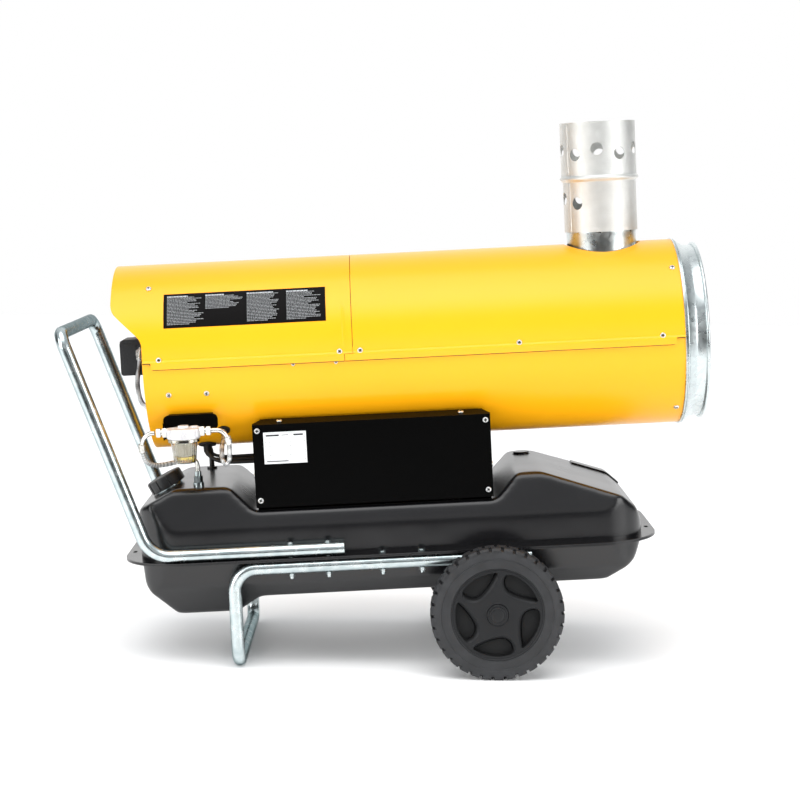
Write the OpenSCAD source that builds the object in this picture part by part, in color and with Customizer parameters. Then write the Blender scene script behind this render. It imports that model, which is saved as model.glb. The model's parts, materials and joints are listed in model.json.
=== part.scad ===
// Mobile indirect oil fired space heater: a round air casing on a fuel tank, with a bent tube
// handle, a bent tube leg and two wheels. All sizes are in millimetres.
// The heater is drawn level, with the seam of the tank at height 0 and the tank's middle at x = 0.
// x runs to the warm air outlet and the near side is -y. place() then stands it on the floor,
// nose up by the angle that its short leg gives it.

/* [Stance] */
// How far the nose stands up when the leg and both wheels are on the floor, in degrees
tilt = 3.7; // [1:0.1:6]
// Position of the wheel axle along the tank
axle_x = 170; // [120:1:220]
// Depth of the wheel axle below the tank's seam
axle_drop = 98.5; // [92:0.5:130]

/* [Casing] */
// Outer radius of the round casing
casing_r = 159; // [150:1:166]
// Length of the casing from its rear edge to its front edge
casing_len = 902; // [880:1:930]
// Position of the casing's front edge along the heater
casing_front = 506; // [495:1:516]
// Height of the casing's axis over the tank's seam
axis_h = 333; // [328:1:345]
// Thickness of the casing's sheet steel
sheet = 1.2; // [0.8:0.1:1.6]
// Position of the joint between the two upper panels
panel_joint = -46; // [-80:1:0]
// How far the rear panel reaches out over the pump
cowl_reach = 47; // [30:1:60]
// How far the upper panels reach down over the lower shell, below the axis
lip_drop = 10; // [6:0.5:14]
// Height of the lower shell's upper edge over the axis
shell_rise = 12; // [9:0.5:16]

/* [Outlet and flue] */
// Outside radius of the outlet's neck, where the air duct slides on
neck_r = 147.5; // [135:0.5:150]
// Outside radius of the outlet's bead
bead_r = 152.5; // [151:0.5:157]
// Length of the outlet in front of the casing
outlet_len = 42; // [36:1:60]
// Outer diameter of the flue stub
stub_d = 119; // [100:1:124]
// Position of the flue along the heater
flue_x = 389; // [370:1:400]
// Outer diameter of the perforated flue pipe's lower half
flue_d = 125; // [124:1:130]
// Height of the flue pipe's lower rim over the tank's seam
flue_low = 512; // [506:1:520]
// Length of the flue pipe
flue_len = 186; // [160:1:230]
// Diameter of the air holes in the flue pipe
flue_hole_d = 21; // [10:0.5:24]

/* [Heat exchanger] */
// Outer radius of the combustion chamber
chamber_r = 86; // [75:1:90]
// Length of the combustion chamber
chamber_len = 440; // [400:5:460]
// Outer radius of the heat exchanger drum
drum_r = 125; // [118:1:132]
// Radial width of the exchanger's gas space
drum_gap = 18; // [14:1:22]

/* [Air fan and burner] */
// Outer diameter of the fan motor
motor_d = 92; // [80:1:100]
// Length of the fan motor
motor_len = 115; // [95:1:120]
// Outer diameter of the fan
fan_d = 250; // [220:2:262]
// Diameter of the motor shaft
shaft_d = 12; // [8:0.5:14]
// Outer diameter of the burner's blast tube
blast_d = 104; // [90:1:112]
// Width of the fuel pump's block
pump_w = 60; // [50:1:64]

/* [Tank] */
// Overall length of the tank with its flange
tank_len = 912; // [900:1:930]
// Overall width of the tank with its flange
tank_w = 394; // [390:1:398]
// Width of the flange at the tank's ends
flange_end = 37; // [34:1:45]
// Thickness of each half's flange
flange_t = 2.5; // [1.5:0.1:3]
// Width of the tank's walls at the seam
tank_body_w = 340; // [334:1:344]
// Height of the two humps over the seam
hump_h = 119; // [114:1:124]
// Height of the saddle that carries the casing's base
saddle_h = 79; // [76:1:82]
// Depth of the tank's flat bottom below the seam
tank_depth = 71; // [64:1:76]
// Depth of the sump below the seam
sump_depth = 100; // [94:1:108]
// Thickness of the tank's sheet steel
tank_sheet = 2; // [1.2:0.1:2.4]
// Diameter of the filler neck
filler_d = 48; // [42:1:50]
// Diameter of the filler cap
cap_d = 62; // [58:1:66]

/* [Handle and leg] */
// Outer diameter of the bent tubes
tube_d = 22; // [20:0.5:23]
// Wall of the bent tubes
tube_wall = 1.5; // [1:0.1:2.5]
// Distance between the tubes' centre lines on the two sides
tube_span = 370; // [368:1:374]
// Rake of the handle, in degrees from upright
handle_rake = 18.4; // [10:0.1:24]
// Length of the handle's slanted legs
handle_len = 399; // [340:1:440]
// Position of the handle's lower bend
handle_x = -399; // [-410:1:-390]
// Position of the handle rail's front end
handle_front = -77; // [-90:1:-50]
// Position of the leg
leg_x = -262; // [-275:1:-230]
// Position of the leg rail's front end
leg_front = 233; // [215:1:240]
// Diameter of the frame bolts
bolt_d = 6; // [5:0.5:8]

/* [Wheels] */
// Outer diameter of the wheels
wheel_d = 220; // [200:1:228]
// Width of the wheels
wheel_w = 48; // [40:1:54]
// Distance between the wheels' inner faces
wheel_gap = 410; // [404:1:416]
// Diameter of the axle
axle_d = 16; // [12:0.5:20]

/* [Electrics base] */
// Position of the base's rear end
box_rear = -220; // [-224:1:-210]
// Length of the base
box_len = 396; // [370:1:400]
// Distance from the middle to the cover's face
box_half_w = 162; // [156:1:166]
// Height of the cover's upper edge over the seam
box_top = 223; // [215:1:228]
// Thickness of the base's sheet steel
box_sheet = 1.5; // [1:0.1:2]

/* [Fuel filter] */
// Position of the fuel filter along the heater
filter_x = -332; // [-338:1:-326]
// Distance from the middle to the filter's axis
filter_y = 178; // [176:1:182]
// Outer diameter of the filter head
filter_d = 54; // [48:1:58]
// Diameter of the fuel hoses
hose_d = 8; // [6:0.5:9]
// Gap between a hose's end and its fitting
hose_fit = 0.3; // [0.1:0.1:0.5]

/* [Hidden] */
$fn = 48;

yellow = "#f7c21a";
satin_black = "#232426";
zinc = "#c9ced1";
galvanized = "#b9bfc2";
steel = "#9a9fa3";
brass = "#b08d3c";
rubber_black = "#1b1b1c";
wheel_grey = "#46474b";

near = -1;
far = 1;
sides = [near, far];
casing_rear = casing_front - casing_len;
tube_r = tube_d / 2;
bead_wire = 3;

// The floor: both wheels and the leg's cross tube touch it
wheel_r = wheel_d / 2;
lift_z = wheel_r + axle_drop * cos(tilt) - axle_x * sin(tilt);
leg_low = (tube_r - lift_z - leg_x * sin(tilt)) / cos(tilt);

// The handle's top and the outlet's bead are the ends of the heater, and x = 0 is half way
rail_h = flange_t + tube_r;
grip_x = handle_x - handle_len * sin(handle_rake);
grip_h = rail_h + handle_len * cos(handle_rake);
outlet_x = casing_front + outlet_len;
rear_end = grip_x * cos(tilt) - grip_h * sin(tilt) - tube_r;
front_end = (outlet_x - bead_wire) * cos(tilt) - (axis_h - bead_r + bead_wire) * sin(tilt) + bead_wire;
shift_x = -(rear_end + front_end) / 2;

module place() {
    translate([shift_x, 0, lift_z])
        rotate([0, -tilt, 0])
            children();
}

// An outline is a list of corners [x, y, rounding radius], counterclockwise
corner_steps = 6;
function unit(v) = v / norm(v);
function short_turn(a) = a > 180 ? a - 360 : a < -180 ? a + 360 : a;
function flat(c) = [c[0], c[1]];
function wrap(c, i) = c[(i + len(c)) % len(c)];
function fillet(p, q, n, r) =
    r <= 0 ? [q] :
    let (u = unit(p - q), w = unit(n - q), half = acos(u * w) / 2)
    let (c = q + unit(u + w) * r / sin(half))
    let (s = q + u * r / tan(half) - c, e = q + w * r / tan(half) - c)
    let (a = atan2(s[1], s[0]), turn = short_turn(atan2(e[1], e[0]) - a))
    [for (k = [0:corner_steps]) c + r * [cos(a + turn * k / corner_steps), sin(a + turn * k / corner_steps)]];
function rounded(c) = [
    for (i = [0:len(c) - 1])
        each fillet(flat(wrap(c, i - 1)), flat(c[i]), flat(wrap(c, i + 1)), c[i][2])
];
function inset_corner(p, q, n, r, k) =
    let (u = unit(p - q), w = unit(n - q), half = acos(u * w) / 2)
    let (s = u[0] * w[1] - u[1] * w[0] < 0 ? 1 : -1)
    let (m = q + s * unit(u + w) * k / sin(half))
    [m[0], m[1], r <= 0 ? 0 : max(r - s * k, 0.5)];
function inset(c, k) = [
    for (i = [0:len(c) - 1])
        inset_corner(flat(wrap(c, i - 1)), flat(c[i]), flat(wrap(c, i + 1)), c[i][2], k)
];

// Prisms of an outline along each axis
module along_y(y0, y1) {
    translate([0, y1, 0])
        rotate([90, 0, 0])
            linear_extrude(y1 - y0)
                children();
}
module along_x(x0, x1, h = 0) {
    translate([x0, 0, h])
        rotate([90, 0, 90])
            linear_extrude(x1 - x0)
                children();
}
module rod_x(x0, x1, d) {
    translate([x0, 0, 0])
        rotate([0, 90, 0])
            cylinder(h = x1 - x0, d = d);
}
module rod_y(y0, y1, d) {
    translate([0, y1, 0])
        rotate([90, 0, 0])
            cylinder(h = y1 - y0, d = d);
}
module block(x0, x1, y0, y1, z0, z1) {
    translate([x0, y0, z0])
        cube([x1 - x0, y1 - y0, z1 - z0]);
}
module slab(half_x, half_y, r) {
    square([2 * half_x, 2 * (half_y - r)], center = true);
    square([2 * (half_x - r), 2 * half_y], center = true);
    for (sx = sides)
        for (sy = sides)
            translate([sx * (half_x - r), sy * (half_y - r)])
                circle(r);
}

// Hoses and cables: a round tube swept along a smooth curve through hand set points
function spline(a, b, c, d, t) =
    0.5 * (2 * b + (c - a) * t + (2 * a - 5 * b + 4 * c - d) * t * t + (3 * b - a - 3 * c + d) * t * t * t);
function smooth(p, n) = [
    for (i = [0:len(p) - 2])
        for (k = [0:n - 1])
            spline(p[max(i - 1, 0)], p[i], p[i + 1], p[min(i + 2, len(p) - 1)], k / n),
    p[len(p) - 1]
];
function ring(p, t, ref, d, n) =
    let (u = unit(cross(t, ref)), v = cross(t, u))
    [for (k = [0:n - 1]) p + d / 2 * (u * cos(360 * k / n) + v * sin(360 * k / n))];
module cord(points, d, ref, n = 8, steps = 2) {
    p = smooth(points, steps);
    last = len(p) - 1;
    rings = [
        for (i = [0:last])
            each ring(p[i], unit(p[min(i + 1, last)] - p[max(i - 1, 0)]), ref, d, n)
    ];
    walls = [
        for (i = [0:last - 1])
            for (k = [0:n - 1])
                let (a = i * n + k, b = i * n + (k + 1) % n)
                each [[a, b, b + n], [a, b + n, a + n]]
    ];
    ends = [
        for (k = [1:n - 2])
            each [[0, k + 1, k], [last * n, last * n + k, last * n + k + 1]]
    ];
    polyhedron(points = rings, faces = concat(walls, ends));
}

// Casing
// Places something on the casing, x along it and angle degrees over its axis, with z outwards
module on_casing(x, angle, side) {
    translate([x, 0, axis_h])
        rotate([-side * (90 - angle), 0, 0])
            translate([0, 0, casing_r])
                children();
}
module between(low, high) {
    intersection() {
        children();
        translate([-2 * casing_r, low])
            square([4 * casing_r, high - low]);
    }
}
module pipe_section(outer, inner) {
    difference() {
        circle(outer, $fn = 128);
        circle(inner, $fn = 128);
    }
}

lip_rise = 0.6;
lip_inset = 14;
lip_top = 2;
screw_angle = 2;
end_inset = 14;
front_screw_angle = 46;
rear_screw_angle = 50;
bracket_screw_angle = -20;
bracket_screws = [casing_rear + 40, casing_rear + 103];
screw_hole = 4.4;
inner_r = casing_r - 2 * sheet;
shell_r = casing_r - sheet;

upper_screws = [
    [casing_rear + 28, screw_angle], [panel_joint - 22, screw_angle],
    [casing_rear + end_inset, rear_screw_angle]
];
front_screws = [
    [panel_joint + 12, screw_angle], [(panel_joint + casing_front) / 2, screw_angle],
    [casing_front - 38, screw_angle], [casing_front - end_inset, front_screw_angle]
];
lower_screws = [
    [casing_front - end_inset, -front_screw_angle - 4],
    [bracket_screws[0], bracket_screw_angle], [bracket_screws[1], bracket_screw_angle]
];

module screw_holes(list) {
    for (s = list)
        for (side = sides)
            on_casing(s[0], s[1], side)
                translate([0, 0, -12])
                    cylinder(h = 24, d = screw_hole);
}

module lower_shell() {
    color(yellow)
        place()
            difference() {
                along_x(casing_rear, casing_front, axis_h)
                    between(-2 * casing_r, shell_rise)
                        pipe_section(shell_r, inner_r);
                screw_holes(lower_screws);
                screw_holes([for (s = concat(upper_screws, front_screws)) if (s[1] == screw_angle) s]);
                for (g = grommet_places)
                    on_casing(g[0], g[1], g[2])
                        translate([0, 0, -12])
                            cylinder(h = 24, d = g[3] + 2 * grommet_rim);
            }
}

module upper_panel(x0, x1, screws) {
    difference() {
        union() {
            along_x(x0, x1, axis_h)
                between(-lip_drop, 2 * casing_r)
                    pipe_section(casing_r, shell_r);
            along_x(max(x0, casing_rear + lip_inset), x1, axis_h)
                between(-lip_drop, lip_top)
                    pipe_section(casing_r + lip_rise, shell_r);
        }
        screw_holes(screws);
    }
}

// Outline of the cut that gives the rear panel its slanted lower corner, in x and height
cowl_end = casing_rear - cowl_reach;
cowl_corner_h = axis_h + 97;
cowl_notch = [
    [cowl_end - 40, axis_h - 40, 0], [casing_rear + 0.5, axis_h - 40, 0], [casing_rear + 0.5, axis_h + 42, 22],
    [cowl_end - 1, cowl_corner_h, 0], [cowl_end - 40, cowl_corner_h, 0]
];

module rear_upper_shell() {
    color(yellow)
        place()
            difference() {
                upper_panel(cowl_end, panel_joint - 0.3, upper_screws);
                along_y(-casing_r - 10, casing_r + 10)
                    polygon(rounded(cowl_notch));
            }
}

flue_opening = 131;
module front_upper_shell() {
    color(yellow)
        place()
            difference() {
                upper_panel(panel_joint + 0.3, casing_front, front_screws);
                translate([flue_x, 0, axis_h + 100])
                    cylinder(h = 100, d = flue_opening);
            }
}

// The galvanized outlet: a collar inside the casing, a rim over its edge, a neck and a bead
outlet_wall = 1.5;
collar_len = 24;
rim_t = 2;
rim_r = casing_r + 2;
cone_len = 18;
module outlet_spigot() {
    outside = [
        [inner_r, -collar_len], [inner_r, 0], [rim_r, 0], [rim_r, rim_t], [neck_r, rim_t + cone_len],
        [neck_r, outlet_len - bead_wire]
    ];
    inside = [
        [neck_r - outlet_wall, outlet_len - bead_wire], [neck_r - outlet_wall, rim_t + cone_len],
        [inner_r - outlet_wall, rim_t / 2], [inner_r - outlet_wall, -collar_len]
    ];
    color(galvanized)
        place()
            difference() {
                translate([casing_front, 0, axis_h])
                    rotate([0, 90, 0])
                        union() {
                            rotate_extrude($fn = 128)
                                polygon(concat(outside, inside));
                            rotate_extrude($fn = 128)
                                translate([bead_r - bead_wire, outlet_len - bead_wire])
                                    circle(bead_wire, $fn = 24);
                        }
                screw_holes([front_screws[3], lower_screws[0]]);
            }
}

// The blank dark panel on each heater of this kind, a thin curved skin on the casing
panel_x = [-358, -88];
panel_angle = [21, 44.5];
panel_t = 0.4;
panel_gap = 0.1;
module label_panel() {
    reach = 2 * casing_r;
    color(rubber_black)
        place()
            along_x(panel_x[0], panel_x[1], axis_h)
                intersection() {
                    pipe_section(casing_r + panel_gap + panel_t, casing_r + panel_gap);
                    polygon([
                        [0, 0],
                        [-reach * cos(panel_angle[1]), reach * sin(panel_angle[1])],
                        [-reach * cos(panel_angle[0]), reach * sin(panel_angle[0])]
                    ]);
                }
}

screw_head = 9.5;
screw_head_h = 2.4;
module pan_screw(grip, d) {
    difference() {
        union() {
            translate([0, 0, lip_rise])
                cylinder(h = screw_head_h, d1 = screw_head, d2 = screw_head * 0.7);
            translate([0, 0, -grip])
                cylinder(h = grip + lip_rise, d = d);
        }
        for (a = [0, 90])
            translate([0, 0, lip_rise + screw_head_h])
                rotate([0, 0, a])
                    cube([screw_head * 0.5, 1, 2], center = true);
    }
}
module casing_screws() {
    color(zinc)
        place()
            for (s = concat(upper_screws, front_screws, lower_screws))
                for (side = sides)
                    on_casing(s[0], s[1], side)
                        translate([0, 0, s[1] < 0 ? -sheet - lip_rise : s[1] == screw_angle ? 0 : -lip_rise])
                            pan_screw(5, 4);
}

// Heat exchanger: the gas space is a drum round the chamber, and the flue stub stands on it
chamber_wall = 1.5;
chamber_rear = casing_rear + 286;
chamber_front = chamber_rear + chamber_len;
drum_rear = chamber_rear + 50;
drum_front = flue_x + stub_d / 2 + 6;
drum_in = drum_r - drum_gap;
port_d = 50;
drum_fit = 0.3;
port_x = chamber_front - 60;
stub_top = flue_low + 28;
foot_x = [drum_rear + 40, flue_x - 60];
blast_hole = blast_d + 1;

module combustion_chamber() {
    color(steel)
        place()
            translate([0, 0, axis_h])
                difference() {
                    union() {
                        rod_x(chamber_rear, chamber_front, 2 * chamber_r);
                        translate([port_x, 0, -drum_in - chamber_wall / 2])
                            cylinder(h = drum_in - chamber_r / 2, d = port_d);
                        for (x = [drum_rear + 30, chamber_front - 15])
                            for (a = [30, 150, 270])
                                translate([x, 0, 0])
                                    rotate([a, 0, 0])
                                        block(-6, 6, chamber_r - 3, drum_in - drum_fit, -4, 4);
                    }
                    rod_x(chamber_rear + chamber_wall, chamber_front - chamber_wall, 2 * (chamber_r - chamber_wall));
                    rod_x(chamber_rear - 1, chamber_rear + 3, blast_hole);
                    translate([port_x, 0, -drum_in - 5])
                        cylinder(h = drum_in - chamber_r / 2, d = port_d - 2 * chamber_wall);
                }
}

module drum_section(outer, inner) {
    difference() {
        circle(outer, $fn = 96);
        circle(inner, $fn = 96);
    }
}
module heat_exchanger() {
    color(steel)
        place()
            difference() {
                union() {
                    along_x(drum_rear, drum_front, axis_h)
                        drum_section(drum_r, drum_in);
                    translate([flue_x, 0, axis_h + drum_in + 3])
                        cylinder(h = stub_top - axis_h - drum_in - 3, d = stub_d);
                    translate([flue_x, 0, flue_low + 12])
                        rotate_extrude()
                            translate([flue_d / 2 - 1 - 2, 0])
                                circle(2, $fn = 24);
                    for (x = foot_x)
                        intersection() {
                            block(x - 10, x + 10, -50, 50, axis_h - casing_r, axis_h - drum_in - 4);
                            along_x(x - 12, x + 12, axis_h)
                                drum_section(inner_r, drum_in + 4);
                        }
                }
                along_x(drum_rear + chamber_wall, drum_front - chamber_wall, axis_h)
                    drum_section(drum_r - chamber_wall, drum_in + chamber_wall);
                translate([flue_x, 0, axis_h + drum_in + chamber_wall + 2])
                    cylinder(h = 300, d = stub_d - 2 * chamber_wall);
                translate([port_x, 0, axis_h - drum_in - 3])
                    cylinder(h = 12, d = port_d + drum_fit);
            }
}

// Perforated flue pipe: a wider upper half over a bead, with rings of air holes
flue_wall = 1;
flue_bead_h = flue_low + 91;
flue_upper_r = flue_d / 2 + 2;
upper_holes = 10;
lower_holes = 5;
hole_row = [flue_bead_h + 44.5, flue_low + 53.5];
hole_step = 4.4;
first_hole = -98;
module flue_pipe() {
    r = flue_d / 2;
    flue_top = flue_low + flue_len;
    outline = [
        [r - flue_wall, flue_low], [r, flue_low], [r, flue_bead_h], [flue_upper_r, flue_bead_h + 2],
        [flue_upper_r, flue_top], [flue_upper_r - flue_wall, flue_top],
        [flue_upper_r - flue_wall, flue_bead_h + 2.4], [r - flue_wall, flue_bead_h + 0.4]
    ];
    color(galvanized)
        place()
            translate([flue_x, 0, 0])
                difference() {
                    union() {
                        rotate_extrude($fn = 96)
                            polygon(outline);
                        rotate_extrude($fn = 96)
                            translate([flue_upper_r, flue_bead_h])
                                difference() {
                                    circle(3, $fn = 24);
                                    translate([-10, -5])
                                        square([10 - flue_wall / 2, 10]);
                                }
                    }
                    for (i = [0:upper_holes - 1])
                        rotate([0, 0, first_hole + i * 360 / upper_holes])
                            translate([0, 0, hole_row[0] + (i % 2 == 0 ? hole_step : -hole_step)])
                                rotate([0, 90, 0])
                                    translate([0, 0, flue_d / 3])
                                        cylinder(h = flue_d / 3, d = flue_hole_d);
                    for (i = [1:lower_holes])
                        rotate([0, 0, first_hole - i * 360 / upper_holes])
                            translate([0, 0, hole_row[1] + (i % 2 == 0 ? -hole_step : hole_step)])
                                rotate([0, 90, 0])
                                    translate([0, 0, flue_d / 3])
                                        cylinder(h = flue_d / 3, d = flue_hole_d);
                }
}

// Burner: blast tube with a rear cross that carries the nozzle and the electrodes
blast_rear = chamber_rear - 70;
blast_front = chamber_rear + 14;
nozzle_rear = blast_rear - 10;
cross_t = 4;
boss_d = 34;
nozzle_d = 16;
electrode_y = 13;
electrode_h = 24;
ceramic_d = 8;
module blast_tube() {
    color(steel)
        place()
            translate([0, 0, axis_h])
                difference() {
                    union() {
                        difference() {
                            rod_x(blast_rear, blast_front, blast_d);
                            rod_x(blast_rear - 1, blast_front + 1, blast_d - 3);
                        }
                        rod_x(chamber_rear - 3, chamber_rear, blast_d + 20);
                        for (a = [30, 150, 270])
                            rotate([a, 0, 0])
                                block(blast_rear, blast_rear + cross_t, 5, blast_d / 2 - 1, -7, 7);
                        rod_x(blast_rear, blast_rear + cross_t, boss_d);
                        block(blast_rear, blast_rear + cross_t, -22, 22, 14, 34);
                    }
                    rod_x(blast_rear + cross_t, chamber_rear + 1, blast_d - 3);
                    rod_x(blast_rear - 1, blast_rear + cross_t + 1, nozzle_d);
                    for (side = sides)
                        translate([0, side * electrode_y, electrode_h])
                            rod_x(blast_rear - 1, blast_rear + cross_t + 1, ceramic_d);
                }
}
module nozzle() {
    color(brass)
        place()
            translate([0, 0, axis_h])
                difference() {
                    union() {
                        rod_x(nozzle_rear, blast_rear + cross_t, nozzle_d);
                        translate([blast_rear + cross_t, 0, 0])
                            rotate([0, 90, 0])
                                cylinder(h = 12, d = 20, $fn = 6);
                        translate([blast_rear + cross_t + 12, 0, 0])
                            rotate([0, 90, 0])
                                cylinder(h = 14, d1 = 15, d2 = 8);
                    }
                    rod_x(blast_rear + 8, blast_front, 2);
                }
}
module electrodes() {
    tip_x = blast_rear + cross_t + 38;
    color("#e8e4da")
        place()
            for (side = sides)
                translate([0, side * electrode_y, axis_h + electrode_h]) {
                    rod_x(blast_rear - 12, blast_rear + cross_t + 26, ceramic_d);
                    rod_x(blast_rear - 24, tip_x, 2.4);
                    translate([tip_x, 0, 0])
                        rotate([0, 50, 0])
                            translate([-0.6, 0, 0])
                                rod_x(0, 20, 2.4);
                }
}

// Motor, fan and fuel pump share one axis
motor_rear = casing_rear + 12;
motor_front = motor_rear + motor_len;
fan_x = motor_front + 14;
fan_hub_len = 36;
shaft_fit = 0.1;
arm_x = [bracket_screws[0] - 6, bracket_screws[1] + 6];
module fan_motor() {
    color("#3c3e42")
        place()
            translate([0, 0, axis_h])
                difference() {
                    union() {
                        rod_x(motor_rear + 12, motor_front - 12, motor_d);
                        rod_x(motor_rear, motor_front, motor_d - 10);
                        rod_x(motor_front, motor_front + 6, 34);
                        block(motor_rear + 79, motor_rear + 95, -26, 6, -60, -36);
                    }
                    rod_x(motor_rear - 1, motor_front + 8, shaft_d + 2 * shaft_fit);
                }
}
module motor_bracket() {
    ring_x = [arm_x[0] + 22, arm_x[1] - 22];
    color(satin_black)
        place()
            translate([0, 0, axis_h])
                difference() {
                    union() {
                        rod_x(ring_x[0], ring_x[1], motor_d + 8);
                        for (a = [-90, -90 + 70 + 0, 180 + 20])
                            intersection() {
                                rotate([a, 0, 0])
                                    union() {
                                        block(ring_x[0], ring_x[1], 10, inner_r, -2, 2);
                                        block(arm_x[0], arm_x[1], inner_r - 8, inner_r + 4, -9, 9);
                                    }
                                rod_x(arm_x[0] - 1, arm_x[1] + 1, 2 * inner_r);
                            }
                    }
                    rod_x(arm_x[0] - 2, arm_x[1] + 2, motor_d);
                    for (x = bracket_screws)
                        for (side = sides)
                            translate([0, 0, -axis_h])
                                on_casing(x, bracket_screw_angle, side)
                                    translate([0, 0, -16])
                                        cylinder(h = 24, d = screw_hole);
                }
}
module motor_shaft() {
    color(zinc)
        place()
            translate([0, 0, axis_h])
                rod_x(motor_rear - 9, fan_x + fan_hub_len, shaft_d);
}
fan_blades = 6;
module fan() {
    color(steel)
        place()
            translate([fan_x, 0, axis_h])
                difference() {
                    union() {
                        rod_x(0, fan_hub_len, 60);
                        intersection() {
                            for (i = [0:fan_blades - 1])
                                rotate([i * 360 / fan_blades, 0, 0])
                                    translate([fan_hub_len / 2, 0, fan_d / 4 + 6])
                                        rotate([0, 0, 32])
                                            cube([3, 62, fan_d / 2 - 6], center = true);
                            rod_x(-20, fan_hub_len + 20, fan_d);
                        }
                    }
                    rod_x(-30, fan_hub_len + 30, shaft_d);
                    for (x = [-30, fan_hub_len + 2])
                        rod_x(x, x + 28, 2 * fan_d);
                }
}

// Finger guard in the casing's rear end: rings of flat wire on bars that lie behind them
guard_wire = 3;
guard_x = casing_rear + 5;
guard_step = 16;
guard_first = 62;
guard_last = inner_r;
guard_bars = 8;
module guard_ring(r) {
    rotate_extrude()
        translate([r, 0])
            square(guard_wire, center = true);
}
module intake_guard() {
    color(satin_black)
        place()
            translate([guard_x, 0, axis_h])
                rotate([0, 90, 0])
                    union() {
                        for (r = [guard_first:guard_step:guard_last - 8])
                            guard_ring(r);
                        guard_ring(guard_last - guard_wire / 2);
                        for (i = [0:guard_bars - 1])
                            rotate([0, 0, i * 360 / guard_bars])
                                translate([guard_first - 1, -guard_wire / 2, guard_wire / 2 - 0.5])
                                    cube([guard_last - guard_first, guard_wire, guard_wire]);
                    }
}

pump_front = motor_rear;
pump_rear = pump_front - pump_w - 2;
pump_port = [pump_front - 27, -pump_w / 2 - 12, axis_h + 17];
return_port = [pump_front - 27, pump_w / 2, axis_h - 8];
line_port = [pump_front - 30, pump_w / 2, axis_h + 14];
module fuel_pump() {
    half = pump_w / 2;
    color("#3a3c40")
        place()
            difference() {
                union() {
                    translate([0, 0, axis_h + 2])
                        along_x(pump_rear, pump_front - 8)
                            slab(half, half + 1, 6);
                    translate([0, 0, axis_h])
                        rod_x(pump_front - 8, pump_front, 54);
                    for (i = [0:3])
                        block(pump_rear + 8, pump_rear + 34, -half - 2, -half + 1, axis_h - 20 + 10 * i, axis_h - 16 + 10 * i);
                    translate([pump_port[0], 0, pump_port[2]])
                        rod_y(pump_port[1] + hose_fit, -half + 2, 15);
                }
                translate([0, 0, axis_h])
                    rod_x(pump_front - 14, pump_front + 1, shaft_d + 2 * shaft_fit);
            }
}
module solenoid_valve() {
    base = axis_h + 2 + pump_w / 2 + 1;
    color(rubber_black)
        place()
            translate([pump_front - 26, 0, base])
                union() {
                    translate([0, 0, 0])
                        cylinder(h = 26, d = 15);
                    block(-14, 14, -13, 13, 4, 30);
                }
}

// x counts from the casing's rear edge and the height from its axis
nozzle_points = [
    [-18, 40, 14], [-8, 54, 9], [12, 57, 4], [96, 57, 4], [128, 72, 4], [134, 110, 4], [142, 136, 4],
    [160, 141, 4], [180, 138, 4], [192, 112, 3], [196, 60, 2], [200, 26, 1], [208, 8, 0]
];
nozzle_route = concat([line_port], [for (p = nozzle_points) p + [casing_rear, 0, axis_h]]);
module nozzle_line() {
    color(brass)
        place()
            cord(nozzle_route, 5, [0.1, 0.05, 1]);
}

// Tank: each half is the room common to a side outline, a plan and a cross section
wall_x = tank_len / 2 - flange_end;
wall_y = tank_body_w / 2;
plan_r = 72;
flange_r = 84;
ridge_h = 52;
top_half_w = wall_y - 24;
slope_h = 88;
slope_end = -358;
upper_side = [
    [-wall_x, 0, 0], [wall_x, 0, 0], [wall_x, 24, 10], [wall_x - 18, ridge_h, 12], [wall_x - 45, ridge_h + 20, 16],
    [258, hump_h, 18], [218, hump_h, 14], [box_rear + box_len + 5, saddle_h, 16], [box_rear - 5, saddle_h, 16],
    [-266, hump_h, 18], [slope_end, hump_h, 12], [-wall_x, slope_h, 12]
];
upper_cross = [
    [-wall_y, 0, 0], [wall_y, 0, 0], [wall_y, ridge_h, 9], [top_half_w, hump_h, 9], [-top_half_w, hump_h, 9],
    [-wall_y, ridge_h, 9]
];
lower_side = [
    [-wall_x, 0, 0], [-wall_x + 6, -44, 12], [-366, -sump_depth, 14], [-265, -sump_depth, 12],
    [-223, -tank_depth, 12], [wall_x - 66, -tank_depth, 24], [wall_x - 18, -38, 24], [wall_x, 0, 0]
];
lower_cross = [
    [-wall_y + 2, 0, 0], [-wall_y + 8, -42, 10], [-112, -sump_depth, 14], [112, -sump_depth, 14],
    [wall_y - 8, -42, 10], [wall_y - 2, 0, 0]
];
module tank_room(side, cross_cut, k) {
    intersection() {
        along_y(-wall_y - 5, wall_y + 5)
            polygon(rounded(inset(side, k)));
        along_x(-wall_x - 5, wall_x + 5)
            polygon(rounded(inset(cross_cut, k)));
        translate([0, 0, -200])
            linear_extrude(400)
                slab(wall_x - k, wall_y - k, plan_r - k);
    }
}
module tank_shell(side, cross_cut, up) {
    z = up > 0 ? 0 : -flange_t;
    difference() {
        union() {
            tank_room(side, cross_cut, 0);
            translate([0, 0, z])
                linear_extrude(flange_t)
                    slab(tank_len / 2, tank_w / 2, flange_r);
        }
        tank_room(side, cross_cut, tank_sheet);
        translate([0, 0, up > 0 ? -1 : -tank_sheet - 1])
            linear_extrude(tank_sheet + 2)
                slab(wall_x - 8, wall_y - 8, plan_r - 8);
        for (x = bolt_places)
            for (s = sides)
                translate([x, s * tube_span / 2, -10])
                    cylinder(h = 20, d = bolt_hole);
        for (sx = sides)
            for (y = [-60, 60])
                translate([sx * (tank_len / 2 - 14), y, -10])
                    linear_extrude(20)
                        slab(3, 8, 2.9);
    }
}

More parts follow.
